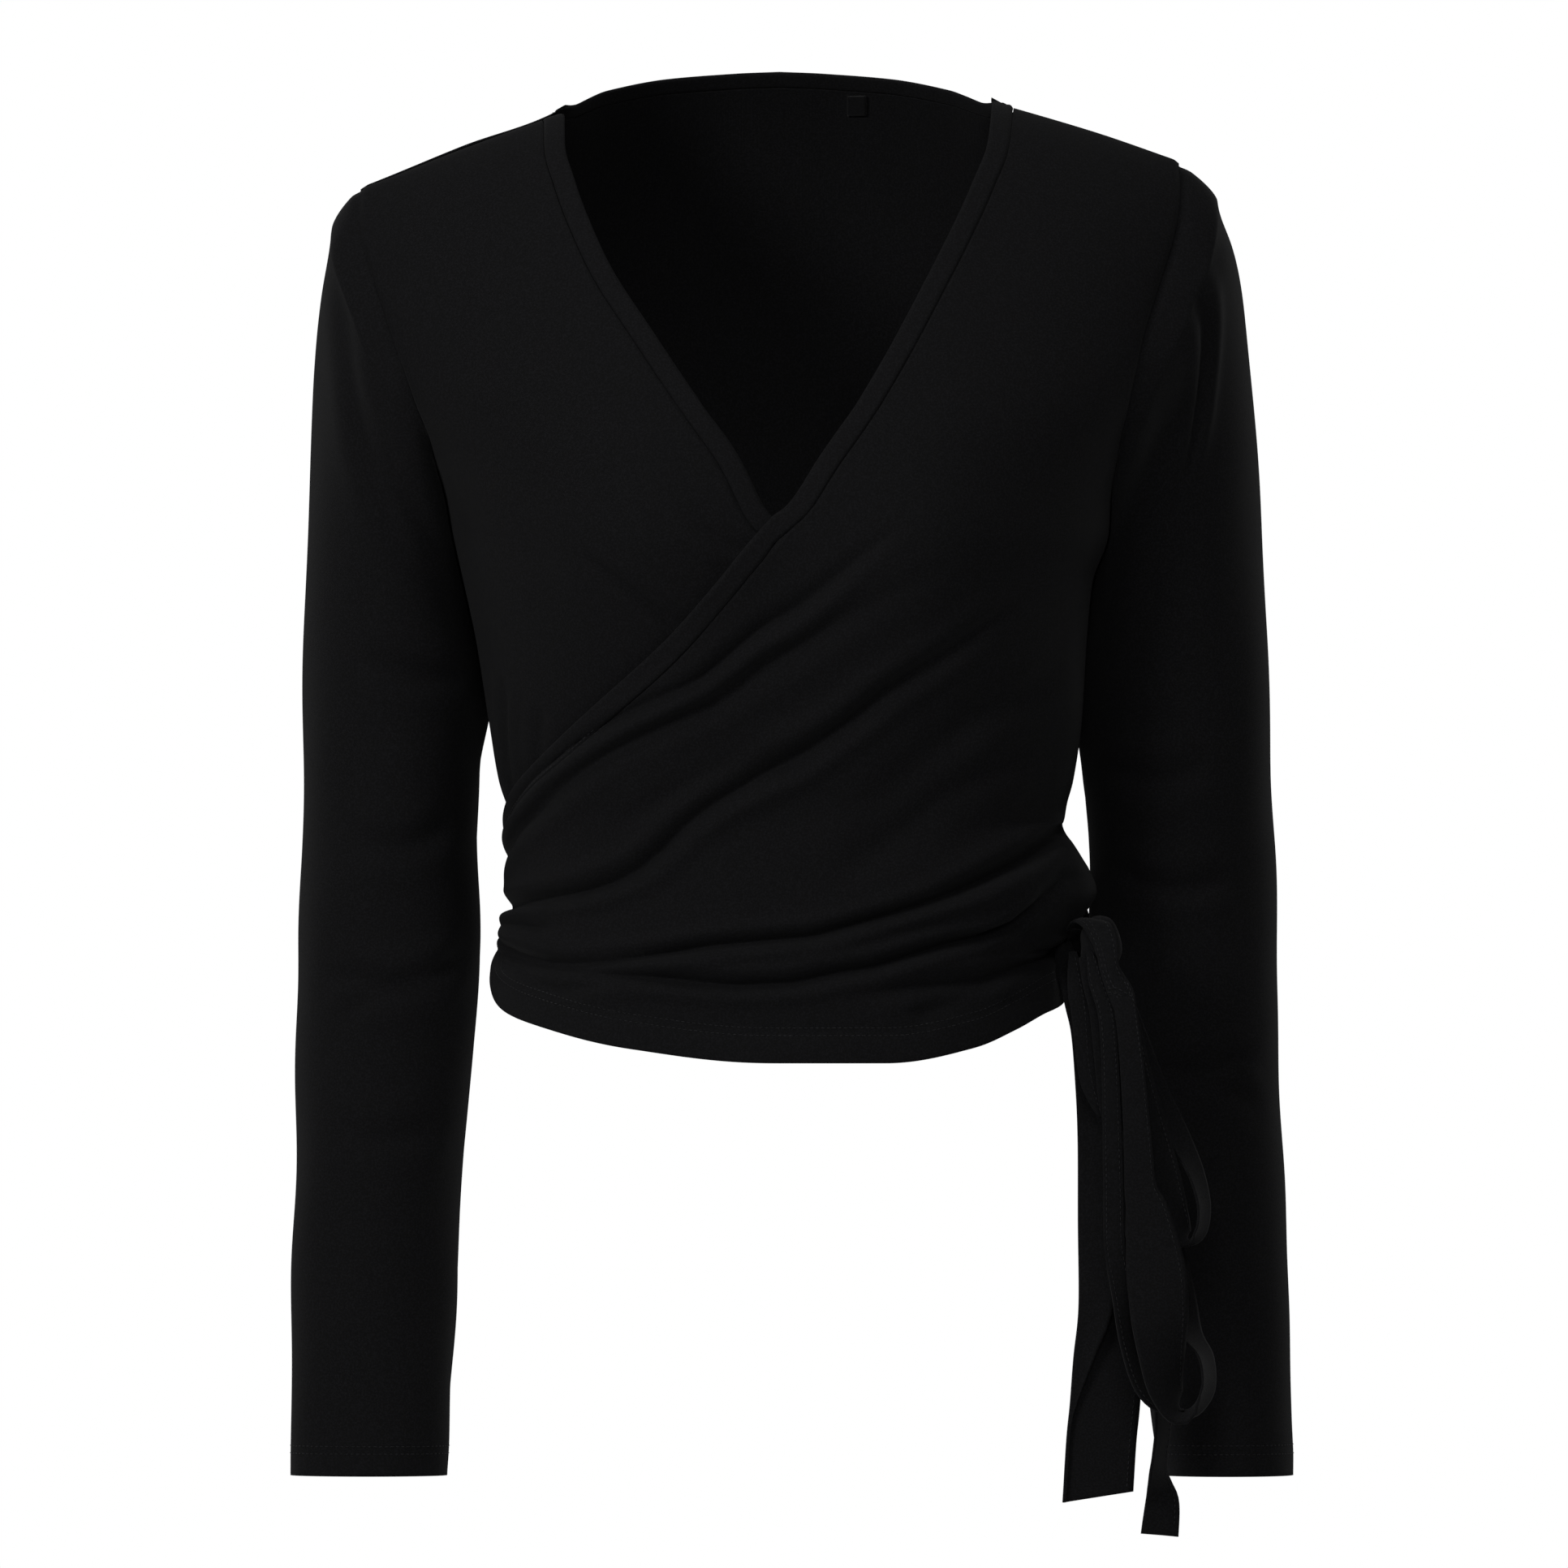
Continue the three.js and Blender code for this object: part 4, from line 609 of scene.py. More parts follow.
class Wardrobe:
    """Makes each cloth's material once and hands it out."""

    def __init__(self):
        """Starts with nothing made."""
        self.made: dict = {}

    def __call__(self, finish: Finish) -> bpy.types.Material:
        """Returns: the material of a finish."""
        if finish not in self.made:
            self.made[finish] = self._make(finish)
        return self.made[finish]

    def _make(self, finish: Finish) -> bpy.types.Material:
        """Knit loops in the cloth's own UV millimetres, with a fine heather and a soft sheen."""
        look = FINISHES[finish]
        material = bpy.data.materials.new(f"{finish.value}_black")
        material.use_nodes = True
        nodes, links = material.node_tree.nodes, material.node_tree.links
        shader = nodes["Principled BSDF"]
        shader.inputs["Roughness"].default_value = look.roughness
        shader.inputs["Specular IOR Level"].default_value = 0.12
        shader.inputs["Sheen Weight"].default_value = look.sheen
        shader.inputs["Sheen Roughness"].default_value = 0.45
        place = nodes.new("ShaderNodeTexCoord")
        grain = nodes.new("ShaderNodeTexNoise")
        grain.inputs["Scale"].default_value = 1 / (0.9 * MM)
        grain.inputs["Detail"].default_value = 2.0
        links.new(place.outputs["Object"], grain.inputs["Vector"])
        blend = nodes.new("ShaderNodeMix")
        blend.data_type = "RGBA"
        blend.inputs[6].default_value = linear(look.colour)
        blend.inputs[7].default_value = linear(look.speck)
        steep = nodes.new("ShaderNodeMapRange")
        steep.inputs["From Min"].default_value = 0.42
        steep.inputs["From Max"].default_value = 0.66
        links.new(grain.outputs["Fac"], steep.inputs["Value"])
        links.new(steep.outputs["Result"], blend.inputs[0])
        links.new(blend.outputs[2], shader.inputs["Base Color"])
        if look.bump > 0:
            loops = self._knit(nodes, links, place, look.wale)
            bump = nodes.new("ShaderNodeBump")
            bump.inputs["Strength"].default_value = look.bump
            bump.inputs["Distance"].default_value = 0.12 * MM
            links.new(loops, bump.inputs["Height"])
            links.new(bump.outputs["Normal"], shader.inputs["Normal"])
        return material

    @staticmethod
    def _knit(nodes, links, place, wale: float):
        """V-shaped knit loops: columns of leaning strokes.

        Args: place: the texture coordinates. wale: width of a column of loops.
        Returns: the socket with the loops' height.
        """

        def math_node(kind: str, first, second=None):
            node = nodes.new("ShaderNodeMath")
            node.operation = kind
            for socket, value in zip(node.inputs, (first, second)):
                if isinstance(value, (int, float)):
                    socket.default_value = value
                elif value is not None:
                    links.new(value, socket)
            return node.outputs[0]

        split = nodes.new("ShaderNodeSeparateXYZ")
        links.new(place.outputs["UV"], split.inputs[0])
        column = math_node("MULTIPLY", split.outputs["X"], 1 / (wale * MM))
        row = math_node("MULTIPLY", split.outputs["Y"], 1 / (0.78 * wale * MM))
        within = math_node("PINGPONG", column, 0.5)
        leaning = math_node("ADD", row, math_node("MULTIPLY", within, 1.4))
        stroke = math_node("SINE", math_node("MULTIPLY", leaning, 2 * math.pi))
        groove = math_node("SINE", math_node("MULTIPLY", within, 2 * math.pi))
        return math_node("ADD", math_node("MULTIPLY", stroke, 0.4), groove)


WARDROBE = Wardrobe()


def grid_normals(grid: np.ndarray, away: np.ndarray, ring: bool) -> np.ndarray:
    """Returns: the normals of a grid of points, turned to the side that away points to."""
    if ring:
        around = np.roll(grid, -1, axis=1) - np.roll(grid, 1, axis=1)
    else:
        around = np.gradient(grid, axis=1)
    along = np.gradient(grid, axis=0)
    normal = unit(np.cross(around, along))
    flip = np.sum(normal * away, axis=-1) < 0
    normal[flip] *= -1
    return normal


def shell(name: str, grid: np.ndarray, away: np.ndarray, finish: Finish, nodes,
          out=CLOTH / 2, inward=CLOTH / 2, ring: bool = False, uv: np.ndarray | None = None) -> bpy.types.Object:
    """A closed thin shell of cloth round a grid of points.

    Args:
        name: the piece's name.
        grid: rows of columns of points, in millimetres.
        away: directions that point out of the cloth's face.
        finish: what it is made of.
        nodes: the solids that it stands for.
        ring: whether the columns close on themselves.
        uv: unrolled millimetres of each point; measured along the grid if left out.
    Returns: the object.
    """
    rows, columns = grid.shape[:2]
    normal = grid_normals(grid, away, ring)
    out = np.broadcast_to(np.asarray(out, float), (rows, columns))[..., None]
    inward = np.broadcast_to(np.asarray(inward, float), (rows, columns))[..., None]
    points = np.concatenate([(grid + normal * out).reshape(-1, 3), (grid - normal * inward).reshape(-1, 3)])
    j, i = np.meshgrid(np.arange(rows - 1), np.arange(columns if ring else columns - 1), indexing="ij")
    j, i = j.ravel(), i.ravel()
    nxt = (i + 1) % columns
    count = rows * columns
    skin = np.stack([j * columns + i, j * columns + nxt, (j + 1) * columns + nxt, (j + 1) * columns + i], axis=1)
    inner = skin[:, ::-1] + count
    rims = []
    i = np.arange(columns if ring else columns - 1)
    nxt = (i + 1) % columns
    low, high = i, (rows - 1) * columns + i
    low_next, high_next = nxt, (rows - 1) * columns + nxt
    rims.append(np.stack([low, low + count, low_next + count, low_next], axis=1))
    rims.append(np.stack([high, high_next, high_next + count, high + count], axis=1))
    if not ring:
        j = np.arange(rows - 1) * columns
        end = j + columns - 1
        rims.append(np.stack([j, j + columns, j + columns + count, j + count], axis=1))
        rims.append(np.stack([end, end + count, end + columns + count, end + columns], axis=1))
    quads = np.concatenate([skin, inner] + rims)
    first = points[quads[: len(skin)]]
    facing = np.sum(np.cross(first[:, 1] - first[:, 0], first[:, 3] - first[:, 0])
                    * normal.reshape(-1, 3)[quads[: len(skin), 0]])
    if facing < 0:
        quads = quads[:, ::-1]
    if uv is None:
        step_u = np.linalg.norm(np.diff(grid, axis=1), axis=-1).mean(axis=0)
        step_v = np.linalg.norm(np.diff(grid, axis=0), axis=-1).mean(axis=1)
        u = np.concatenate([[0], np.cumsum(step_u)])
        v = np.concatenate([[0], np.cumsum(step_v)])
        uv = np.stack(np.broadcast_arrays(u[None, :], v[:, None]), axis=-1)
    flat = np.concatenate([uv.reshape(-1, 2), uv.reshape(-1, 2)])
    piece = mesh_object(name, points, quads, flat, finish)
    if nodes:
        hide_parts(*nodes)
    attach(piece, "root")
    return piece


def mesh_object(name: str, points: np.ndarray, quads: np.ndarray, uv: np.ndarray | None,
                finish: Finish) -> bpy.types.Object:
    """Args: points in millimetres; quads by point; uv in millimetres for each point.

    Returns: the object, linked and smooth.
    """
    mesh = bpy.data.meshes.new(name)
    mesh.vertices.add(len(points))
    mesh.vertices.foreach_set("co", (points * MM).astype(np.float32).ravel())
    mesh.loops.add(quads.size)
    mesh.loops.foreach_set("vertex_index", quads.astype(np.int32).ravel())
    mesh.polygons.add(len(quads))
    mesh.polygons.foreach_set("loop_start", np.arange(0, quads.size, quads.shape[1], dtype=np.int32))
    mesh.polygons.foreach_set("use_smooth", np.ones(len(quads), bool))
    mesh.update(calc_edges=True)
    if uv is not None:
        layer = mesh.uv_layers.new(name="cloth")
        layer.data.foreach_set("uv", (uv[quads.ravel()] * MM).astype(np.float32).ravel())
    mesh.validate()
    mesh.materials.append(WARDROBE(finish))
    piece = bpy.data.objects.new(name, mesh)
    bpy.context.scene.collection.objects.link(piece)
    return piece


def seam_roll(grid: np.ndarray, away: np.ndarray, sides: str, deep: float = 0.9, wide: float = 1.8) -> np.ndarray:
    """Turns the cloth in a little along its sewn edges.

    Args: sides: letters of the edges: b bottom row, t top row, s first column, e last column.
    Returns: the grid with rolled edges.
    """
    lift = np.zeros(grid.shape[:2])
    across = np.linalg.norm(np.diff(grid, axis=1), axis=-1)
    along = np.linalg.norm(np.diff(grid, axis=0), axis=-1)
    zero_column, zero_row = np.zeros((grid.shape[0], 1)), np.zeros((1, grid.shape[1]))
    if "s" in sides:
        lift += np.exp(-(np.concatenate([zero_column, np.cumsum(across, axis=1)], axis=1) / wide) ** 2)
    if "e" in sides:
        back = np.cumsum(across[:, ::-1], axis=1)[:, ::-1]
        lift += np.exp(-(np.concatenate([back, zero_column], axis=1) / wide) ** 2)
    if "b" in sides:
        lift += np.exp(-(np.concatenate([zero_row, np.cumsum(along, axis=0)]) / wide) ** 2)
    if "t" in sides:
        back = np.cumsum(along[::-1], axis=0)[::-1]
        lift += np.exp(-(np.concatenate([back, zero_row]) / wide) ** 2)
    return grid - away * (np.minimum(lift, 1) * deep)[..., None]


class Stitches:
    """Collects rows of stitches and sews them all at the end."""

    def __init__(self):
        """Starts with no rows."""
        self.rows: list = []

    def add(self, line: np.ndarray) -> None:
        """Args: line: points along a row, on the cloth's face, in millimetres."""
        self.rows.append(np.asarray(line, float))

    def add_hem(self, grid: np.ndarray, away: np.ndarray) -> None:
        """Adds the two rows along a panel's hem. Args: grid: the panel. away: out of its face."""
        steps = np.linalg.norm(np.diff(grid, axis=0), axis=-1)
        up = np.concatenate([np.zeros((1, grid.shape[1])), np.cumsum(steps, axis=0)])
        for distance in HEM_STITCHES:
            line = []
            for i in range(grid.shape[1]):
                if up[-1, i] < distance:
                    continue
                k = int(np.searchsorted(up[:, i], distance))
                t = (distance - up[k - 1, i]) / max(up[k, i] - up[k - 1, i], 1e-6)
                line.append(mix(grid[k - 1, i], grid[k, i], t) + away[k, i] * (CLOTH / 2 + 0.05))
            self.add(np.array(line))

    def sew(self, name: str, pitch: float, length: float, thick: float) -> bpy.types.Object:
        """Lays one stitch at each pitch of every row.

        Args: name: the piece's name. pitch: from stitch to stitch. length, thick: of a stitch.
        Returns: the object.
        """
        points = np.concatenate(self.rows)
        edges, start = [], 0
        for row in self.rows:
            edges += [(start + k, start + k + 1) for k in range(len(row) - 1)]
            start += len(row)
        mesh = bpy.data.meshes.new(name)
        mesh.from_pydata((points * MM).tolist(), edges, [])
        piece = bpy.data.objects.new(name, mesh)
        bpy.context.scene.collection.objects.link(piece)
        modifier = piece.modifiers.new("stitches", "NODES")
        modifier.node_group = self._group(pitch, length, thick)
        graph = bpy.context.evaluated_depsgraph_get()
        sewn = bpy.data.meshes.new_from_object(piece.evaluated_get(graph), depsgraph=graph)
        piece.modifiers.remove(modifier)
        piece.data = sewn
        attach(piece, "root")
        return piece

    @staticmethod
    def _group(pitch: float, length: float, thick: float) -> bpy.types.NodeTree:
        """Returns: nodes that turn lines into rows of lying stitches."""
        group = bpy.data.node_groups.new("stitch_rows", "GeometryNodeTree")
        group.interface.new_socket("Geometry", in_out="INPUT", socket_type="NodeSocketGeometry")
        group.interface.new_socket("Geometry", in_out="OUTPUT", socket_type="NodeSocketGeometry")
        nodes, links = group.nodes, group.links
        into, out = nodes.new("NodeGroupInput"), nodes.new("NodeGroupOutput")
        curve = nodes.new("GeometryNodeMeshToCurve")
        spaced = nodes.new("GeometryNodeResampleCurve")
        spaced.mode = "LENGTH"
        spaced.inputs["Length"].default_value = pitch * MM
        tangent = nodes.new("GeometryNodeInputTangent")
        turned = nodes.new("FunctionNodeAlignRotationToVector")
        turned.axis = "Z"
        stitch = nodes.new("GeometryNodeMeshUVSphere")
        stitch.inputs["Segments"].default_value = 6
        stitch.inputs["Rings"].default_value = 4
        stitch.inputs["Radius"].default_value = 1.0
        place = nodes.new("GeometryNodeInstanceOnPoints")
        place.inputs["Scale"].default_value = (thick * MM / 2, thick * MM / 2, length * MM / 2)
        real = nodes.new("GeometryNodeRealizeInstances")
        smooth = nodes.new("GeometryNodeSetShadeSmooth")
        paint = nodes.new("GeometryNodeSetMaterial")
        paint.inputs["Material"].default_value = WARDROBE(Finish.THREAD)
        links.new(into.outputs[0], curve.inputs[0])
        links.new(curve.outputs[0], spaced.inputs["Curve"])
        links.new(spaced.outputs[0], place.inputs["Points"])
        links.new(tangent.outputs[0], turned.inputs["Vector"])
        links.new(turned.outputs[0], place.inputs["Rotation"])
        links.new(stitch.outputs["Mesh"], place.inputs["Instance"])
        links.new(place.outputs[0], real.inputs[0])
        links.new(real.outputs[0], smooth.inputs[0])
        links.new(smooth.outputs[0], paint.inputs["Geometry"])
        links.new(paint.outputs[0], out.inputs[0])
        return group


@dataclass
class FrontPanel:
    """One crossed front, from its bound edge to its side seam and its armhole."""

    name: str
    node: str
    edge: Line
    side: int
    low_end: float
    hem_lift: float
    columns: int
    rows: tuple
    lift: Callable
    flat: tuple
    stitches: Stitches

    def build(self) -> bpy.types.Object:
        """Returns: the panel as a shell of cloth."""
        inside = inside_line(self.edge, self.side, BAND + SEAM)
        hem = pair_curve(HEM_FRONT)
        seam_hem = float(hem(self.side)) + self.hem_lift
        gather = np.linspace(0, GATHER_ROWS, self.rows[0], endpoint=False)
        edge = np.linspace(0, EDGE_ROWS, self.rows[1], endpoint=False) + GATHER_ROWS
        arm = (1 - (1 - np.linspace(0, 1, self.rows[2])) ** 1.7) * ARM_ROWS + GATHER_ROWS + EDGE_ROWS
        row = np.concatenate([gather, edge, arm])
        low = row < GATHER_ROWS
        first_turn, first_z = inside(0)
        above = row - GATHER_ROWS
        share = np.where(above <= EDGE_ROWS, above / (2 * EDGE_ROWS), 0.5 + (above - EDGE_ROWS) / (2 * ARM_ROWS))
        start_turn, start_z = inside(np.maximum(share, 0))
        start_turn = np.where(low, first_turn, start_turn)
        start_z = np.where(low, mix(self.low_end, first_z, row / GATHER_ROWS), start_z)
        seam_rows = GATHER_ROWS + EDGE_ROWS
        heights = Curve((0, GATHER_ROWS, seam_rows), (seam_hem, SEAM_GATHER, UNDERARM))
        hole_turn, hole_z = armhole(self.side)(np.clip(1 - (row - seam_rows) / ARM_ROWS, 0, 1))
        end_turn = np.where(row <= seam_rows, self.side, hole_turn)
        end_z = np.where(row <= seam_rows, heights(row), hole_z)
        s = np.linspace(0, 1, self.columns + 1)[None, :]
        turn, z = between((start_turn[:, None], start_z[:, None]), (end_turn[:, None], end_z[:, None]), s)
        chord = mix(self.low_end, seam_hem, s)
        near_hem = np.clip(1 - row / GATHER_ROWS, 0, 1)[:, None] ** 2
        z = z + (hem(turn) + self.hem_lift - chord) * near_hem
        away = FIGURE.normal(turn, z)
        grid = FIGURE.point(turn, z) + away * self.lift(turn, z)[..., None]
        grid = seam_roll(grid, away, "e")
        uv = np.stack([turn * QUARTER, z], axis=-1)
        self.stitches.add_hem(grid, away)
        piece = shell(self.name, grid, away, Finish.JERSEY, [self.node], uv=uv)
        return piece


def near_hem(turn, z, hem) -> np.ndarray:
    """Returns: 1 at a hem's edge, falling to 0 at its stitches. Args: hem: pairs of turn and height."""
    return 1 - ease(0, HEM_STITCHES[1] + 2, z - pair_curve(hem)(turn))


def hem_flare(turn, z, hem) -> np.ndarray:
    """Returns: how far a hem stands out below its stitches, with a small dip along them."""
    up = z - pair_curve(hem)(turn)
    return HEM_FLARE * near_hem(turn, z, hem) - 0.35 * np.exp(-((up - np.mean(HEM_STITCHES)) / 3.4) ** 2)


def over_lift(turn, z) -> np.ndarray:
    """Returns: how far the over front stands off the body: its layer, loose cloth and folds."""
    flat = np.stack(np.broadcast_arrays(turn * QUARTER, z), axis=-1)
    layer = LAYER / 2 * (1 - np.maximum(turn, -1))
    near_edge = ease(0, PUFF_EDGE, OVER_HEIGHT(turn) - z)
    near_ends = (1 - ease(0.7, 1, turn)) * (1 - ease(0.7, 1.1, -turn))
    loose = ease(PUFF_TOP, PUFF_FULL, z) * near_edge * near_ends
    folds = fold_relief(flat, OVER_FOLDS, body_flat)
    ends = (1 - ease(0.9, 1, turn)) * (1 - ease(1.3, -TIE_END, -turn)) * ease(0, 9, OVER_HEIGHT(turn) - z)
    soft = slack(flat, 70, 0.5, 1) * ease(-150, -220, z) * near_edge * near_ends
    lift = PUFF_DEEP * loose + folds * ends * (1 - 0.8 * near_hem(turn, z, HEM_FRONT)) + hem_flare(turn, z, HEM_FRONT)
    return layer + np.where(lift < 0, SINK_LIMIT * np.tanh(lift / SINK_LIMIT), lift) + soft


def under_lift(turn, z) -> np.ndarray:
    """Returns: how far the under front lies within the body's outer layer."""
    flat = np.stack(np.broadcast_arrays(turn * QUARTER, z), axis=-1)
    edge = ease(0, 8, np.abs(turn + 1) * QUARTER)
    folds = fold_relief(flat, UNDER_FOLDS, body_flat) * (1 - ease(-0.05, 0.15, turn)) * edge
    return -LAYER / 2 * (1 + turn) + folds + slack(flat, 80, 0.35, 2) * edge * ease(-120, -200, z)


def back_lift(turn, z) -> np.ndarray:
    """Returns: the folds of the back; they are routed as seen through the top from the front."""
    across = (2 - turn) * QUARTER
    flat = np.stack(np.broadcast_arrays(across, z), axis=-1)
    edge = ease(0, 10, (turn - 1) * QUARTER) * ease(0, 10, (3 - turn) * QUARTER)
    folds = fold_relief(flat, BACK_FOLDS, body_flat) + slack(flat, 85, 0.5, 3) * ease(-60, -140, z)
    return (folds + hem_flare(turn, z, HEM_BACK)) * edge


OVER_LINE = edge_line(OVER_ROUND, OVER_EDGE)
UNDER_LINE = edge_line(UNDER_ROUND, UNDER_EDGE)
OVER_HEIGHT = Curve(
    [turn for turn, _ in OVER_ROUND] + [float(FIGURE.turn_at(x, z)) for x, z in OVER_EDGE],
    [z for _, z in OVER_ROUND] + [z for _, z in OVER_EDGE],
)


def neck_edge(distance: float, count: int) -> tuple:
    """The back neck edge, or the line a distance below it, from the viewer's right to the left.

    Args: distance: how far down the cloth. count: how many places.
    Returns: (turns, heights).
    """
    drop = pair_curve(BACK_NECK)
    across = 0.5 - 0.5 * np.cos(np.linspace(0, math.pi, count))
    x = mix(NECK_RIGHT, NECK_LEFT, across)
    z = FIGURE.shoulder(x, True) - drop(np.abs(x))
    turn = 2 - FIGURE.turn_at(x, z)
    if distance == 0:
        return turn, z
    way = unit(np.gradient(FIGURE.point(turn, z), axis=0))
    aside = np.cross(FIGURE.normal(turn, z), way)
    aside[aside[:, 2] > 0] *= -1
    moved = FIGURE.point(turn, z) + unit(aside) * distance
    low = np.minimum(moved[:, 2], FIGURE.shoulder(moved[:, 0], True))
    return 2 - FIGURE.turn_at(moved[:, 0], low), low


@dataclass
class BackPanel:
    """The back, from the hem to the shoulder seams and the neck."""

    rows: tuple
    neck_columns: int
    shoulder_columns: int
    flat: tuple
    stitches: Stitches

    def _top(self) -> tuple:
        """Returns: (turns, heights) of the top row, from the viewer's right tip to the left one."""
        neck_turn, neck_z = neck_edge(BACK_BAND + SEAM, self.neck_columns)
        ends = FIGURE.across(neck_turn[[0, -1]], neck_z[[0, -1]])
        share = np.linspace(0, 1, self.shoulder_columns, endpoint=False)
        right = mix(TIP_RIGHT, ends[0], share)
        left = mix(TIP_LEFT, ends[1], share)[::-1]
        right_z, left_z = FIGURE.shoulder(right, True), FIGURE.shoulder(left, True)
        turn = np.concatenate([2 - FIGURE.turn_at(right, right_z), neck_turn, 2 - FIGURE.turn_at(left, left_z)])
        return turn, np.concatenate([right_z, neck_z, left_z])

    def build(self) -> bpy.types.Object:
        """Returns: the back as a shell of cloth."""
        hem = pair_curve(HEM_BACK)
        seam_rows, total = GATHER_ROWS + EDGE_ROWS, GATHER_ROWS + EDGE_ROWS + ARM_ROWS
        row = np.concatenate([
            np.linspace(0, seam_rows, self.rows[0], endpoint=False),
            seam_rows + ARM_ROWS * (1 - (1 - np.linspace(0, 1, self.rows[1])) ** 1.7),
        ])
        ends = []
        for side, far in ((1, 0), (-1, 4)):
            edge = float(hem(side + far))
            heights = Curve((0, GATHER_ROWS, seam_rows), (edge, SEAM_GATHER, UNDERARM))
            hole_turn, hole_z = armhole(side)(np.clip(1 - (row - seam_rows) / ARM_ROWS, 0, 1))
            turn = np.where(row <= seam_rows, side, 2 * side - hole_turn) + far
            ends.append((turn[:, None], np.where(row <= seam_rows, heights(row), hole_z)[:, None]))
        top_turn, top_z = self._top()
        s = np.linspace(0, 1, len(top_turn))[None, :]
        turn, z = between(ends[0], ends[1], s)
        near_hem = np.clip(1 - row / GATHER_ROWS, 0, 1)[:, None] ** 2
        near_top = np.clip((row - GATHER_ROWS) / (total - GATHER_ROWS), 0, 1)[:, None] ** 2
        z = z + (hem(turn) - mix(float(hem(1)), float(hem(3)), s)) * near_hem
        last = between((top_turn[:1], top_z[:1]), (top_turn[-1:], top_z[-1:]), s[0])
        turn = turn + (top_turn - last[0])[None, :] * near_top
        z = z + (top_z - last[1])[None, :] * near_top
        away = FIGURE.normal(turn, z)
        grid = FIGURE.point(turn, z) + away * back_lift(turn, z)[..., None]
        grid = seam_roll(grid, away, "se")
        self.stitches.add_hem(grid, away)
        uv = np.stack([turn * QUARTER, z], axis=-1)
        piece = shell("back", grid, away, Finish.JERSEY, ["back_panel"], uv=uv)
        return piece


@dataclass
class Binding:
    """A folded strip of jersey round a bound edge, with a row of stitches in its seam."""

    name: str
    node: str
    across: int
    stitches: Stitches

    def front(self, edge: Line, side: int, lift: Callable, count: int) -> bpy.types.Object:
        """Returns: the binding of a front. Args: side: which way its cloth lies. count: rows along it."""
        share = np.linspace(0, 1, count)
        outer, inner = edge(share), inside_line(edge, side, BAND)(share)
        s = np.linspace(0, 1, self.across)[:, None]
        turn, z = mix(outer[0], inner[0], s), mix(outer[1], inner[1], s)
        away = FIGURE.normal(turn, z)
        grid = FIGURE.point(turn, z) + away * lift(turn, z)[..., None]
        return self._strip(grid, away, s)

    def back(self, count: int) -> bpy.types.Object:
        """Returns: the binding of the back neck. Args: count: places along it."""
        lines = [neck_edge(distance, count) for distance in np.linspace(0, BACK_BAND, self.across)]
        turn = np.stack([line[0] for line in lines])
        z = np.stack([line[1] for line in lines])
        away = FIGURE.normal(turn, z)
        return self._strip(FIGURE.point(turn, z), away, np.linspace(0, 1, self.across)[:, None])

    def _strip(self, grid: np.ndarray, away: np.ndarray, s: np.ndarray) -> bpy.types.Object:
        """Returns: the strip, thick in the middle and rounded where it folds over the edge."""
        round_off = np.sqrt(np.clip(1 - np.abs(2 * s - 1) ** 6, 0.02, 1))
        half = np.broadcast_to(0.95 * round_off, grid.shape[:2])
        seam = grid[-1] + away[-1] * 0.75
        self.stitches.add(mix(seam, grid[0] + away[0] * 0.75, 0.16))
        piece = shell(self.name, grid, away, Finish.BINDING, [self.node], out=half + 0.25, inward=half * 0.8)
        return piece


def clear_of_body(grid: np.ndarray, side: int) -> np.ndarray:
    """Moves the points of a sleeve that are in the body outward, so that it rests on the cloth.

    Args: grid: the sleeve's points. side: which side it is on.
    Returns: the grid.
    """
    x, y, z = (grid[..., k] for k in range(3))
    half = (FIGURE.left(z) if side < 0 else FIGURE.right(z)) + ARM_CLEAR
    root = np.sqrt(np.maximum(FIGURE.shoulder(x, y > 0) - z, 1))
    depth = np.where(y > 0, FIGURE.back(root), FIGURE.front(root)) + ARM_CLEAR
    square = FIGURE.square(z)
    rest = half * np.maximum(1 - (np.abs(y) / depth) ** square, 0) ** (1 / square)
    push = np.maximum(rest - side * x, 0) * ease(*ARM_REST[:2], -z)
    return grid + np.stack([side * push, 0 * push, 0 * push], axis=-1)


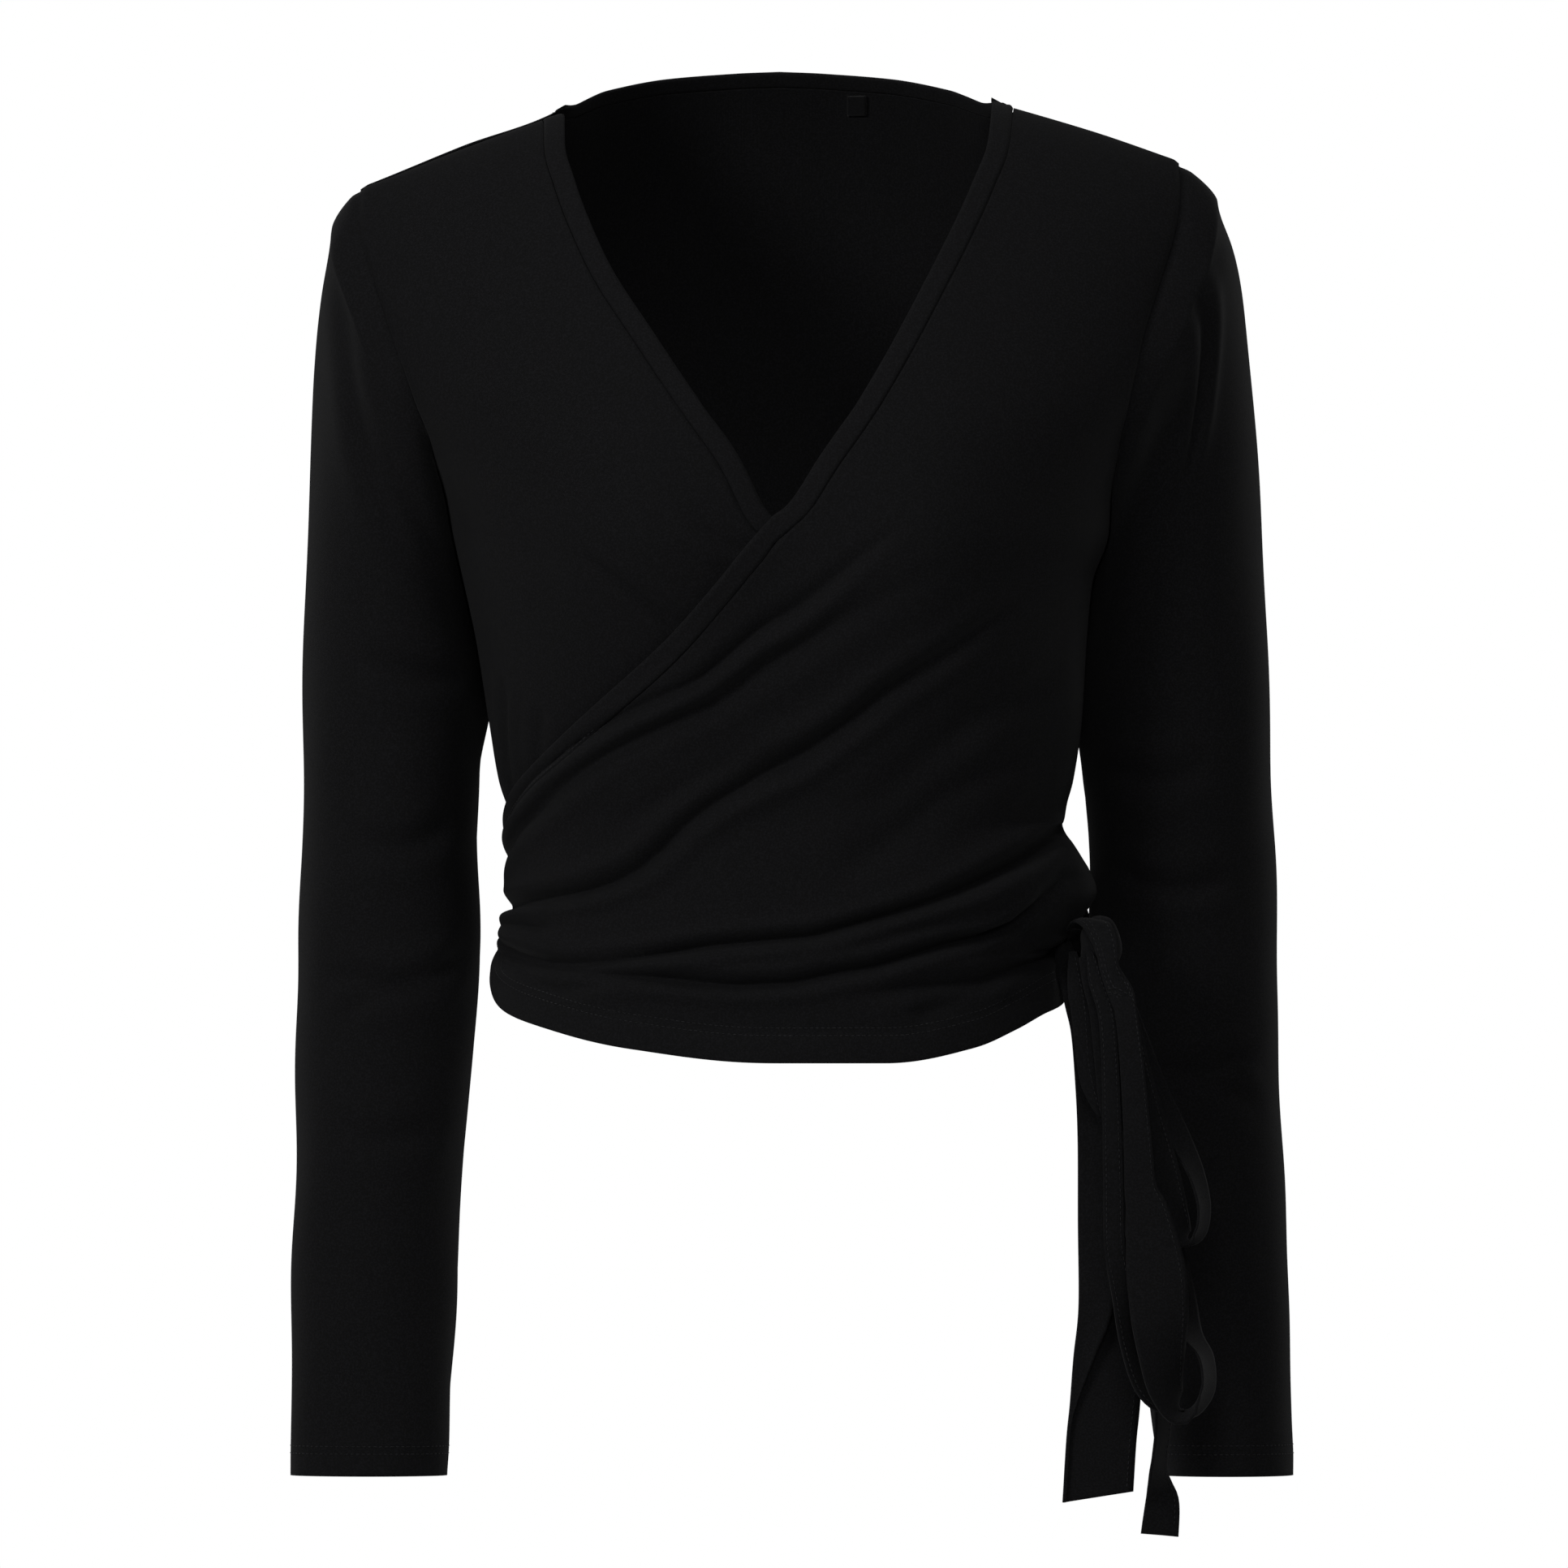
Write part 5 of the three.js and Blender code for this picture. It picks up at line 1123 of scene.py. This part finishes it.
@dataclass
class Sleeve:
    """A long set-in sleeve, cut in one piece and seamed along the inside."""

    name: str
    node: str
    side: int
    sections: tuple
    folds: tuple
    seed: int
    flat: tuple
    stitches: Stitches
    sectors: int = 112
    rings: int = 210

    def build(self) -> bpy.types.Object:
        """Returns: the sleeve as a ring shell of cloth."""
        count = len(self.sections)
        index = np.arange(1, count + 1)
        value = {c: Curve(index, [getattr(row, c) for row in self.sections]) for c in Section._fields}
        t = np.linspace(0, count, self.rings)[:, None]
        turned = np.linspace(0, 2 * math.pi, self.sectors, endpoint=False)
        angle = np.where(turned > math.pi, turned - 2 * math.pi, turned)[None, :]
        hole_turn, hole_z = armhole(self.side)(np.abs(angle) / math.pi)
        hole_turn = np.where(angle < 0, 2 * self.side - hole_turn, hole_turn)
        at_hole = FIGURE.point(hole_turn, hole_z)
        out = np.stack([value["out_x"](t), 0 * t, value["out_z"](t)], axis=-1)
        inner = np.stack([value["in_x"](t), 0 * t, value["in_z"](t)], axis=-1)
        on_ring = (out + inner) / 2 + (out - inner) / 2 * np.cos(angle)[..., None]
        depth = np.where(angle > 0, -value["front"](t), -value["back"](t))
        on_ring[..., 1] += value["lean"](t) + depth * np.sin(angle)
        shift = abs(self.sections[0].out_x - (TIP_LEFT if self.side < 0 else TIP_RIGHT))
        cap = np.zeros(on_ring.shape)
        underarm = (0.5 - 0.5 * np.cos(angle)) ** 3
        cap[..., 0] = self.side * (shift * (0.5 + 0.5 * np.cos(angle)) * (1 - (1 - np.minimum(t, 1)) ** CAP_ROUND) - 2.5 * t * underarm)
        cap[..., 2] = -18 * t
        join = ease(0, 3, t)[..., None]
        grid = mix(at_hole + cap, on_ring, join)
        near_hole = 1 - ease(0, 0.22, t)
        tucked = FIGURE.normal(hole_turn, hole_z) * (0.2 - 0.9 * near_hole)[..., None]
        grid += tucked * (1 - ease(0.5, 2.0, t))[..., None]
        grid[..., 0] += self.side * (0.4 * underarm * ease(0, 0.3, t) - 0.8 * near_hole)
        centre = grid.mean(axis=1, keepdims=True)
        away = unit(grid - centre)
        away[0:2] = unit(FIGURE.normal(hole_turn, hole_z))
        normal = grid_normals(grid, grid - centre, True)
        way = np.concatenate([[0], np.cumsum(np.linalg.norm(np.diff(grid, axis=0), axis=-1).mean(axis=1))])
        radius = np.linalg.norm(grid - centre, axis=-1).mean(axis=1)
        flat = np.stack(np.broadcast_arrays(angle * radius[:, None], centre[..., 2]), axis=-1)
        free = ease(0.2, 2.2, t)
        lift = fold_relief(flat, self.folds, lambda marks: self._unroll(marks, value, index))
        lift = (lift + slack(flat, 60, 0.55, self.seed)) * free
        cuff = ease(0, 14, grid[..., 2] - float(grid[-1, :, 2].mean()))
        grid = grid + normal * np.maximum(lift * mix(0.4, 1, cuff), -4.5)[..., None]
        near = ease(*ARM_REST[:2], -grid[..., 2]) * (1 - ease(*ARM_REST[2:], -grid[..., 2])) * underarm
        grid[..., 0] -= self.side * ARM_PRESS * near
        grid[..., 1] += ARM_PRESS * 1.5 * near
        grid = clear_of_body(grid, self.side)
        away = np.where(np.arange(self.rings)[:, None, None] < 3, away, grid - centre)
        for distance in (12.0, 15.6):
            k = int(np.searchsorted(way, way[-1] - distance))
            ring = grid[k] + grid_normals(grid, grid - centre, True)[k] * 0.1
            self.stitches.add(np.vstack([ring, ring[:1]]))
        uv = np.stack(np.broadcast_arrays(turned[None, :] * 36.0, -way[:, None]), axis=-1)
        piece = shell(self.name, grid, away, Finish.JERSEY, [self.node],
                      out=0.0, inward=CLOTH, ring=True, uv=uv)
        return piece

    def _unroll(self, marks: np.ndarray, value: dict, index: np.ndarray) -> np.ndarray:
        """Returns: marks of (share across from the outer edge, height) as unrolled millimetres.

        A share from 0 to 1 crosses the front from the outer to the inner edge, and a share
        below 0 crosses the back the same way.
        """
        heights = (value["out_z"](index) + value["in_z"](index)) / 2
        at = np.interp(-marks[:, 1], -heights, index)
        radius = (np.abs(value["out_x"](at) - value["in_x"](at)) / 2 + value["front"](at)) / 2
        angle = np.sign(marks[:, 0]) * np.arccos(np.clip(1 - 2 * np.abs(marks[:, 0]), -1, 1))
        return np.stack([angle * radius, marks[:, 1]], axis=-1)


@dataclass
class Strap:
    """A flat jersey tie: a folded and stitched band that can carry a flap folded over itself."""

    name: str
    nodes: tuple
    route: tuple
    rows: tuple
    stitches: Stitches
    held: str = "hung"
    flat: tuple = (0.032, 0.25)
    steps: int = 130
    curl: float = 0.5
    slant: float = 0.0

    def build(self) -> bpy.types.Object:
        """Returns: the strap, with a row of stitches at each of its rows across."""
        marks = np.array(self.route, float)
        way = np.concatenate([[0], np.cumsum(np.linalg.norm(np.diff(marks[:, :3], axis=0), axis=1))])
        share = np.linspace(0, way[-1], self.steps)
        padded = np.vstack([2 * marks[0] - marks[1], marks, 2 * marks[-1] - marks[-2]])
        k = np.clip(np.searchsorted(way, share, side="right") - 1, 0, len(marks) - 2)
        t = ((share - way[k]) / (way[k + 1] - way[k]))[:, None]
        a, b, c, d = (padded[k + i] for i in range(4))
        line = 0.5 * (2 * b + (c - a) * t + (2 * a - 5 * b + 4 * c - d) * t**2 + (3 * b - a - 3 * c + d) * t**3)
        centre, width, turn, flap = line[:, :3], line[:, 3], np.radians(line[:, 4]), np.maximum(line[:, 5], 0)
        tangent = unit(np.gradient(centre, axis=0))
        level = np.stack([np.cos(turn), np.sin(turn), 0 * turn], axis=-1)
        level = unit(level - tangent * np.sum(level * tangent, axis=-1, keepdims=True))
        face = unit(np.cross(level, tangent))
        if np.mean(face[:, 1]) > 0:
            face = -face
        grid, away = self._section(centre, level, face, width, flap)
        across = np.sum((grid - centre[:, None]) * level[:, None], axis=-1)
        near_end = ease(way[-1] - 34, way[-1], share)[:, None]
        grid = grid - (tangent[:, None] * (across * self.slant * near_end)[..., None])
        for row in self.rows:
            at = centre + level * (width * row)[:, None] + face * (0.62 + self._bow(row * 2, width))[:, None]
            if row < 0 and flap.max() > 0:
                shown = flap > 5
                at = at[shown] + face[shown] * 1.5
                at += level[shown] * (flap[shown] * 0.78 + width[shown] * (-0.5 - row))[:, None]
            self.stitches.add(at[3:-3])
        piece = shell(self.name, grid, away, Finish.TIE, self.nodes, out=0.5, inward=0.5)
        return piece

    def _bow(self, across, width) -> np.ndarray:
        """Returns: how far the middle of the strap stands before its edges."""
        return self.curl * (1 - across**2) * np.minimum(width / 20, 1)

    def _section(self, centre, level, face, width, flap) -> tuple:
        """Returns: the grid of the strap and the directions out of its face."""
        if flap.max() == 0:
            across = np.linspace(-1, 1, 15)
            grid = (centre[:, None] + level[:, None] * (across[None, :] * width[:, None] / 2)[..., None]
                    + face[:, None] * np.stack([self._bow(a, width) for a in across], axis=1)[..., None])
            return grid, np.broadcast_to(face[:, None], grid.shape)
        columns, outward = [], []
        radius = 0.85
        for a in np.linspace(1, -1, 12):
            columns.append(centre + level * (a * width / 2)[:, None])
            outward.append(face)
        for angle in np.linspace(0.2, 0.8, 4) * math.pi:
            columns.append(centre - level * (width / 2 + radius * math.sin(angle))[:, None]
                           + face * (radius * (1 - math.cos(angle))))
            outward.append(face * math.cos(angle) + level * math.sin(angle))
        for a in np.linspace(0, 1, 9):
            rise = 2 * radius + 0.5 * a * (1 - a) + (FLAP_RISE * a**2 * np.minimum(flap / 14, 1))[:, None]
            columns.append(centre + level * (-width / 2 + a * np.maximum(flap, 0.05))[:, None] + face * rise)
            outward.append(-face)
        return np.stack(columns, axis=1), np.stack(outward, axis=1)


@dataclass
class Knot:
    """The knot at the viewer's right: a creased lump with a strap wrapped over it."""

    stitches: Stitches

    def build(self) -> bpy.types.Object:
        """Returns: the lump; the wrap is a strap of its own."""
        rows, columns = 40, 56
        polar = np.linspace(0.02, math.pi - 0.02, rows)[:, None]
        around = np.linspace(0, 2 * math.pi, columns, endpoint=False)[None, :]
        ball = np.stack(np.broadcast_arrays(
            np.sin(polar) * np.cos(around), np.sin(polar) * np.sin(around), np.cos(polar)), axis=-1)
        slant = ball[..., 0] * 0.9 + ball[..., 2] * 0.5
        crease = 0.07 * np.sin(slant * 9 + ball[..., 1] * 2) * np.sin(polar)
        size = np.array([9.6, 11.5, 15.5])
        grid = np.array(KNOT_BODY) + ball * size * (1 + crease)[..., None]
        return shell("tie_knot_lump", grid, ball, Finish.TIE, ["tie_knot"], out=0.0, inward=1.0, ring=True)


@dataclass
class BackTie:
    """The long tie: it leaves the over front round the viewer's left side and crosses the back."""

    stitches: Stitches

    def build(self) -> bpy.types.Object:
        """Returns: the tie as a shell of cloth."""
        share = np.linspace(0, 1, 6)
        turns = Curve(share, (TIE_END + 0.004, -1.8, -2.3, -2.75, -3, -3.08))
        heights = Curve(share, (-370.5, -371, -376, -383, -391, -392))
        talls = Curve(share, (35, STRAP_WIDTH, STRAP_WIDTH, 28, 20, 18))
        t = np.linspace(0, 1, 220)[:, None]
        s = np.linspace(-0.5, 0.5, 19)[None, :]
        z = heights(t) + s * talls(t)
        turn = np.broadcast_to(turns(t), z.shape)
        pleat = np.sin(s * 2 * math.pi * 1.5 + t * 5) * (0.5 + 1.1 * ease(0.55, 1, t) + 0.8 * (1 - ease(0, 0.2, t)))
        away = FIGURE.normal(turn, z)
        grid = FIGURE.point(turn, z) + away * (LAYER + 0.4 + pleat * 0.7)[..., None]
        ends = []
        for x, y, height, tall in ((142.5, -18, -392.5, 17), (145.6, -33, -392.5, 14), (147, -45, -392.5, 13)):
            column = np.stack(np.broadcast_arrays(x + 0.6 * np.sin(s * 9), y, height + s * tall), axis=-1)
            ends.append(column.reshape(1, -1, 3))
        grid = np.concatenate([grid] + ends)
        away = np.concatenate([away] + [np.broadcast_to([0.95, -0.31, 0.0], (1, s.size, 3))] * 3)
        for column in (2, 16):
            self.stitches.add(grid[4:-6, column] + away[4:-6, column] * 0.62)
        piece = shell("tie_back_strap", grid, away, Finish.TIE, ["tie_back"], out=0.5, inward=0.5)
        return piece


def build_side_tie() -> bpy.types.Object:
    """The short tie that comes from under the over front to the knot.

    Returns: the tie as a shell of cloth.
    """
    t = np.linspace(0, 1, 24)[:, None]
    s = np.linspace(-0.5, 0.5, 13)[None, :]
    x = mix(134.6, 146, t) + 0.8 * np.sin(s * 8)
    y = mix(-36, -48, t) + 0 * s
    grid = np.stack(np.broadcast_arrays(x, y, -389.2 + s * mix(12, 9.5, t)), axis=-1)
    away = np.broadcast_to([0.72, -0.69, 0.0], grid.shape)
    return shell("tie_side_strap", grid, away, Finish.TIE, ["tie_side"], out=0.5, inward=0.5)


def build_neck_tab() -> bpy.types.Object:
    """The small loop of tape inside the back neck.

    Returns: the loop, folded in two and held in the binding's seam.
    """
    fold = np.linspace(0, 1, 25)[:, None]
    s = np.linspace(-0.5, 0.5, 9)[None, :]
    down = np.interp(fold, (0, 0.44, 0.5, 0.56, 1), (0, 8.6, 9.2, 8.6, 0))
    x = 37 + s * 9
    z = 8.2 - down
    turn = 2 - FIGURE.turn_at(x, z)
    away = FIGURE.normal(turn, z)
    lift = -(1.0 + np.interp(fold, (0, 0.4, 0.5, 0.6, 1), (0, 0, 0.6, 1.3, 1.3)))
    grid = FIGURE.point(turn, z) + away * lift[..., None]
    grid[..., 2] = z
    return shell("neck_loop", grid, -away, Finish.TAPE, ["neck_tab"], out=0.25, inward=0.25)


LEFT_SLEEVE_FOLDS = (
    Fold(((0.15, -118), (0.45, -160), (0.75, -215)), 9.0, 1.4, 0.6, 0.8),
    Fold(((0.95, -250), (0.6, -262), (0.3, -258)), 6.0, 2.0, 1.2, 1.2),
    Fold(((0.9, -330), (0.6, -345), (0.25, -340)), 6.0, 1.6, 1.0, 1.0),
    Fold(((0.95, -398), (0.6, -408), (0.15, -402)), 5.0, 2.6, 1.4, 1.6),
    Fold(((0.85, -418), (0.5, -414), (0.2, -424)), 4.6, 2.0, 1.2, 1.2),
    Fold(((0.9, -470), (0.55, -482), (0.2, -474)), 6.0, 1.4, 1.0, 1.0),
    Fold(((-0.2, -395), (-0.55, -402), (-0.9, -394)), 5.0, 2.4, 1.4, 1.4),
    Fold(((-0.1, -240), (-0.5, -262), (-0.85, -280)), 7.0, 2.0, 1.2, 1.2),
    Fold(((-0.2, -520), (-0.5, -528), (-0.8, -520)), 6.0, 1.6, 1.0, 1.0),
)
RIGHT_SLEEVE_FOLDS = (
    Fold(((0.42, -96), (0.46, -130), (0.52, -160), (0.66, -190)), 5.0, 2.8, 1.0, 2.0),
    Fold(((0.95, -300), (0.6, -312), (0.3, -305)), 6.0, 1.8, 1.0, 1.2),
    Fold(((0.9, -352), (0.6, -364), (0.2, -358)), 5.0, 2.0, 1.2, 1.2),
    Fold(((0.9, -440), (0.55, -448), (0.12, -441)), 4.6, 2.6, 1.4, 1.4),
    Fold(((0.8, -462), (0.45, -456), (0.1, -466)), 5.0, 1.8, 1.0, 1.2),
    Fold(((0.85, -520), (0.5, -530), (0.2, -522)), 6.0, 1.4, 1.0, 0.8),
    Fold(((-0.2, -430), (-0.55, -440), (-0.9, -432)), 5.0, 2.4, 1.4, 1.4),
    Fold(((-0.15, -250), (-0.5, -270), (-0.85, -262)), 7.0, 2.0, 1.2, 1.2),
    Fold(((-0.2, -540), (-0.5, -548), (-0.85, -538)), 6.0, 1.6, 1.0, 1.0),
)


def build_studio() -> None:
    """A plain pale studio: white all round, a soft key from the viewer's left and rim lights."""
    scene = bpy.context.scene
    world = bpy.data.worlds.new("studio")
    scene.world = world
    world.use_nodes = True
    nodes, links = world.node_tree.nodes, world.node_tree.links
    seen, lit = nodes["Background"], nodes.new("ShaderNodeBackground")
    seen.inputs["Color"].default_value = linear("#ffffff")
    seen.inputs["Strength"].default_value = 1.0
    lit.inputs["Color"].default_value = linear("#ffffff")
    lit.inputs["Strength"].default_value = 0.05
    path, blend = nodes.new("ShaderNodeLightPath"), nodes.new("ShaderNodeMixShader")
    links.new(path.outputs["Is Camera Ray"], blend.inputs[0])
    links.new(lit.outputs[0], blend.inputs[1])
    links.new(seen.outputs[0], blend.inputs[2])
    links.new(blend.outputs[0], nodes["World Output"].inputs["Surface"])
    for name, at, size, power in (
        ("key", (-2.1, -2.0, 0.9), 1.0, 23.0),
        ("front", (0.2, -2.5, 0.8), 1.0, 9.0),
        ("top", (0.1, -0.6, 1.9), 1.2, 6.5),
        ("rim_left", (-1.8, 1.4, 0.0), 1.6, 6.0),
        ("rim_right", (1.8, 1.4, 0.0), 1.6, 5.5),
    ):
        light = bpy.data.lights.new(name, "AREA")
        light.shape = "DISK"
        light.size = size
        light.energy = power
        lamp = bpy.data.objects.new(name, light)
        lamp.location = at
        scene.collection.objects.link(lamp)
        aim_at(lamp, (0.0, 0.0, -0.3))
    scene.view_settings.view_transform = "Standard"
    scene.view_settings.look = "None"
    build_floor()
    build_camera()


def aim_at(thing: bpy.types.Object, target: tuple) -> None:
    """Turns a lamp so that it shines at a target, in metres."""
    way = Vector(target) - thing.location
    thing.rotation_euler = way.to_track_quat("-Z", "Y").to_euler()


def build_floor() -> None:
    """A round pale floor, well under the hanging top."""
    bpy.ops.mesh.primitive_circle_add(vertices=96, radius=1.5, fill_type="NGON", location=(0, 0, -1.2))
    floor = bpy.context.object
    floor.name = "floor"
    paint = bpy.data.materials.new("pale_floor")
    paint.use_nodes = True
    paint.node_tree.nodes["Principled BSDF"].inputs["Base Color"].default_value = linear("#f2f2f2")
    paint.node_tree.nodes["Principled BSDF"].inputs["Roughness"].default_value = 0.9
    floor.data.materials.append(paint)


def build_camera() -> None:
    """A long lens, level with the middle of the top, as in the photograph."""
    distance, width = 10.0, 0.7342
    data = bpy.data.cameras.new("camera")
    data.sensor_width = 36.0
    data.lens = 36.0 * distance / width
    data.clip_end = 100.0
    camera = bpy.data.objects.new("camera", data)
    camera.location = (0.0023, -distance, -0.3158)
    camera.rotation_euler = (math.pi / 2, 0.0, 0.0)
    bpy.context.scene.collection.objects.link(camera)
    bpy.context.scene.camera = camera


def main() -> None:
    """Builds every piece of the top and the studio round it."""
    logging.basicConfig(level=logging.INFO)
    stitches = Stitches()
    build_studio()
    FrontPanel("front_over_cloth", "front_over", OVER_LINE, 1, -388, 0, 184, (104, 66, 60), over_lift,
               (0.46, 0.60, 0.16), stitches).build()
    FrontPanel("front_under_cloth", "front_under", UNDER_LINE, -1, -384, 6, 110, (60, 60, 50), under_lift,
               (0.38, 0.46, 0.11), stitches).build()
    BackPanel((110, 60), 90, 26, (0.36, 0.46, 0.145), stitches).build()
    Binding("binding_over", "band_over", 11, stitches).front(OVER_LINE, 1, over_lift, 260)
    Binding("binding_under", "band_under", 11, stitches).front(UNDER_LINE, -1, under_lift, 220)
    Binding("binding_back", "band_back", 9, stitches).back(160)
    Sleeve("sleeve_left_cloth", "sleeve_left", -1, SLEEVE_LEFT, LEFT_SLEEVE_FOLDS, 11, (0.36, 0.62, 0.15),
           stitches).build()
    Sleeve("sleeve_right_cloth", "sleeve_right", 1, SLEEVE_RIGHT, RIGHT_SLEEVE_FOLDS, 12, (0.36, 0.62, 0.15),
           stitches).build()
    for strap in (
        Strap("tail_broad_strap", ("tie_tail_broad",), TAIL_BROAD, (0.4, -0.36), stitches,
              flat=(0.045, 0.255), slant=0.22),
        Strap("tail_narrow_strap", ("tie_tail_narrow",), TAIL_NARROW, (0.36,), stitches, flat=(0.017, 0.28)),
        Strap("tail_ply_left", (), PLY_LEFT, (0.17,), stitches, flat=(0.010, 0.066), steps=60),
        Strap("tail_ply_middle", (), PLY_MIDDLE, (), stitches, flat=(0.010, 0.077), steps=60),
        Strap("loop_strand", (), STRAND, (-0.34, 0.32), stitches, flat=(0.010, 0.25)),
        Strap("loop_lower_strap", ("tie_loop_lower",), LOOP_LOWER, (0.4,), stitches, flat=(0.019, 0.43), steps=200),
        Strap("loop_upper_strap", ("tie_loop_upper",), LOOP_UPPER, (0.38,), stitches, flat=(0.013, 0.27), steps=160),
        Strap("knot_wrap", (), KNOT_WRAP, (-0.36, -0.18, 0.36), stitches, flat=(0.0145, 0.068), curl=2.6, steps=60),
    ):
        strap.build()
    for line in JOIN_STITCHES:
        stitches.add(np.array([(x, -76.3, z) for x, z in line]))
    Knot(stitches).build()
    BackTie(stitches).build()
    build_side_tie()
    build_neck_tab()
    stitches.sew("stitching", 2.6, 1.6, 0.38)


if __name__ == "__main__":
    main()
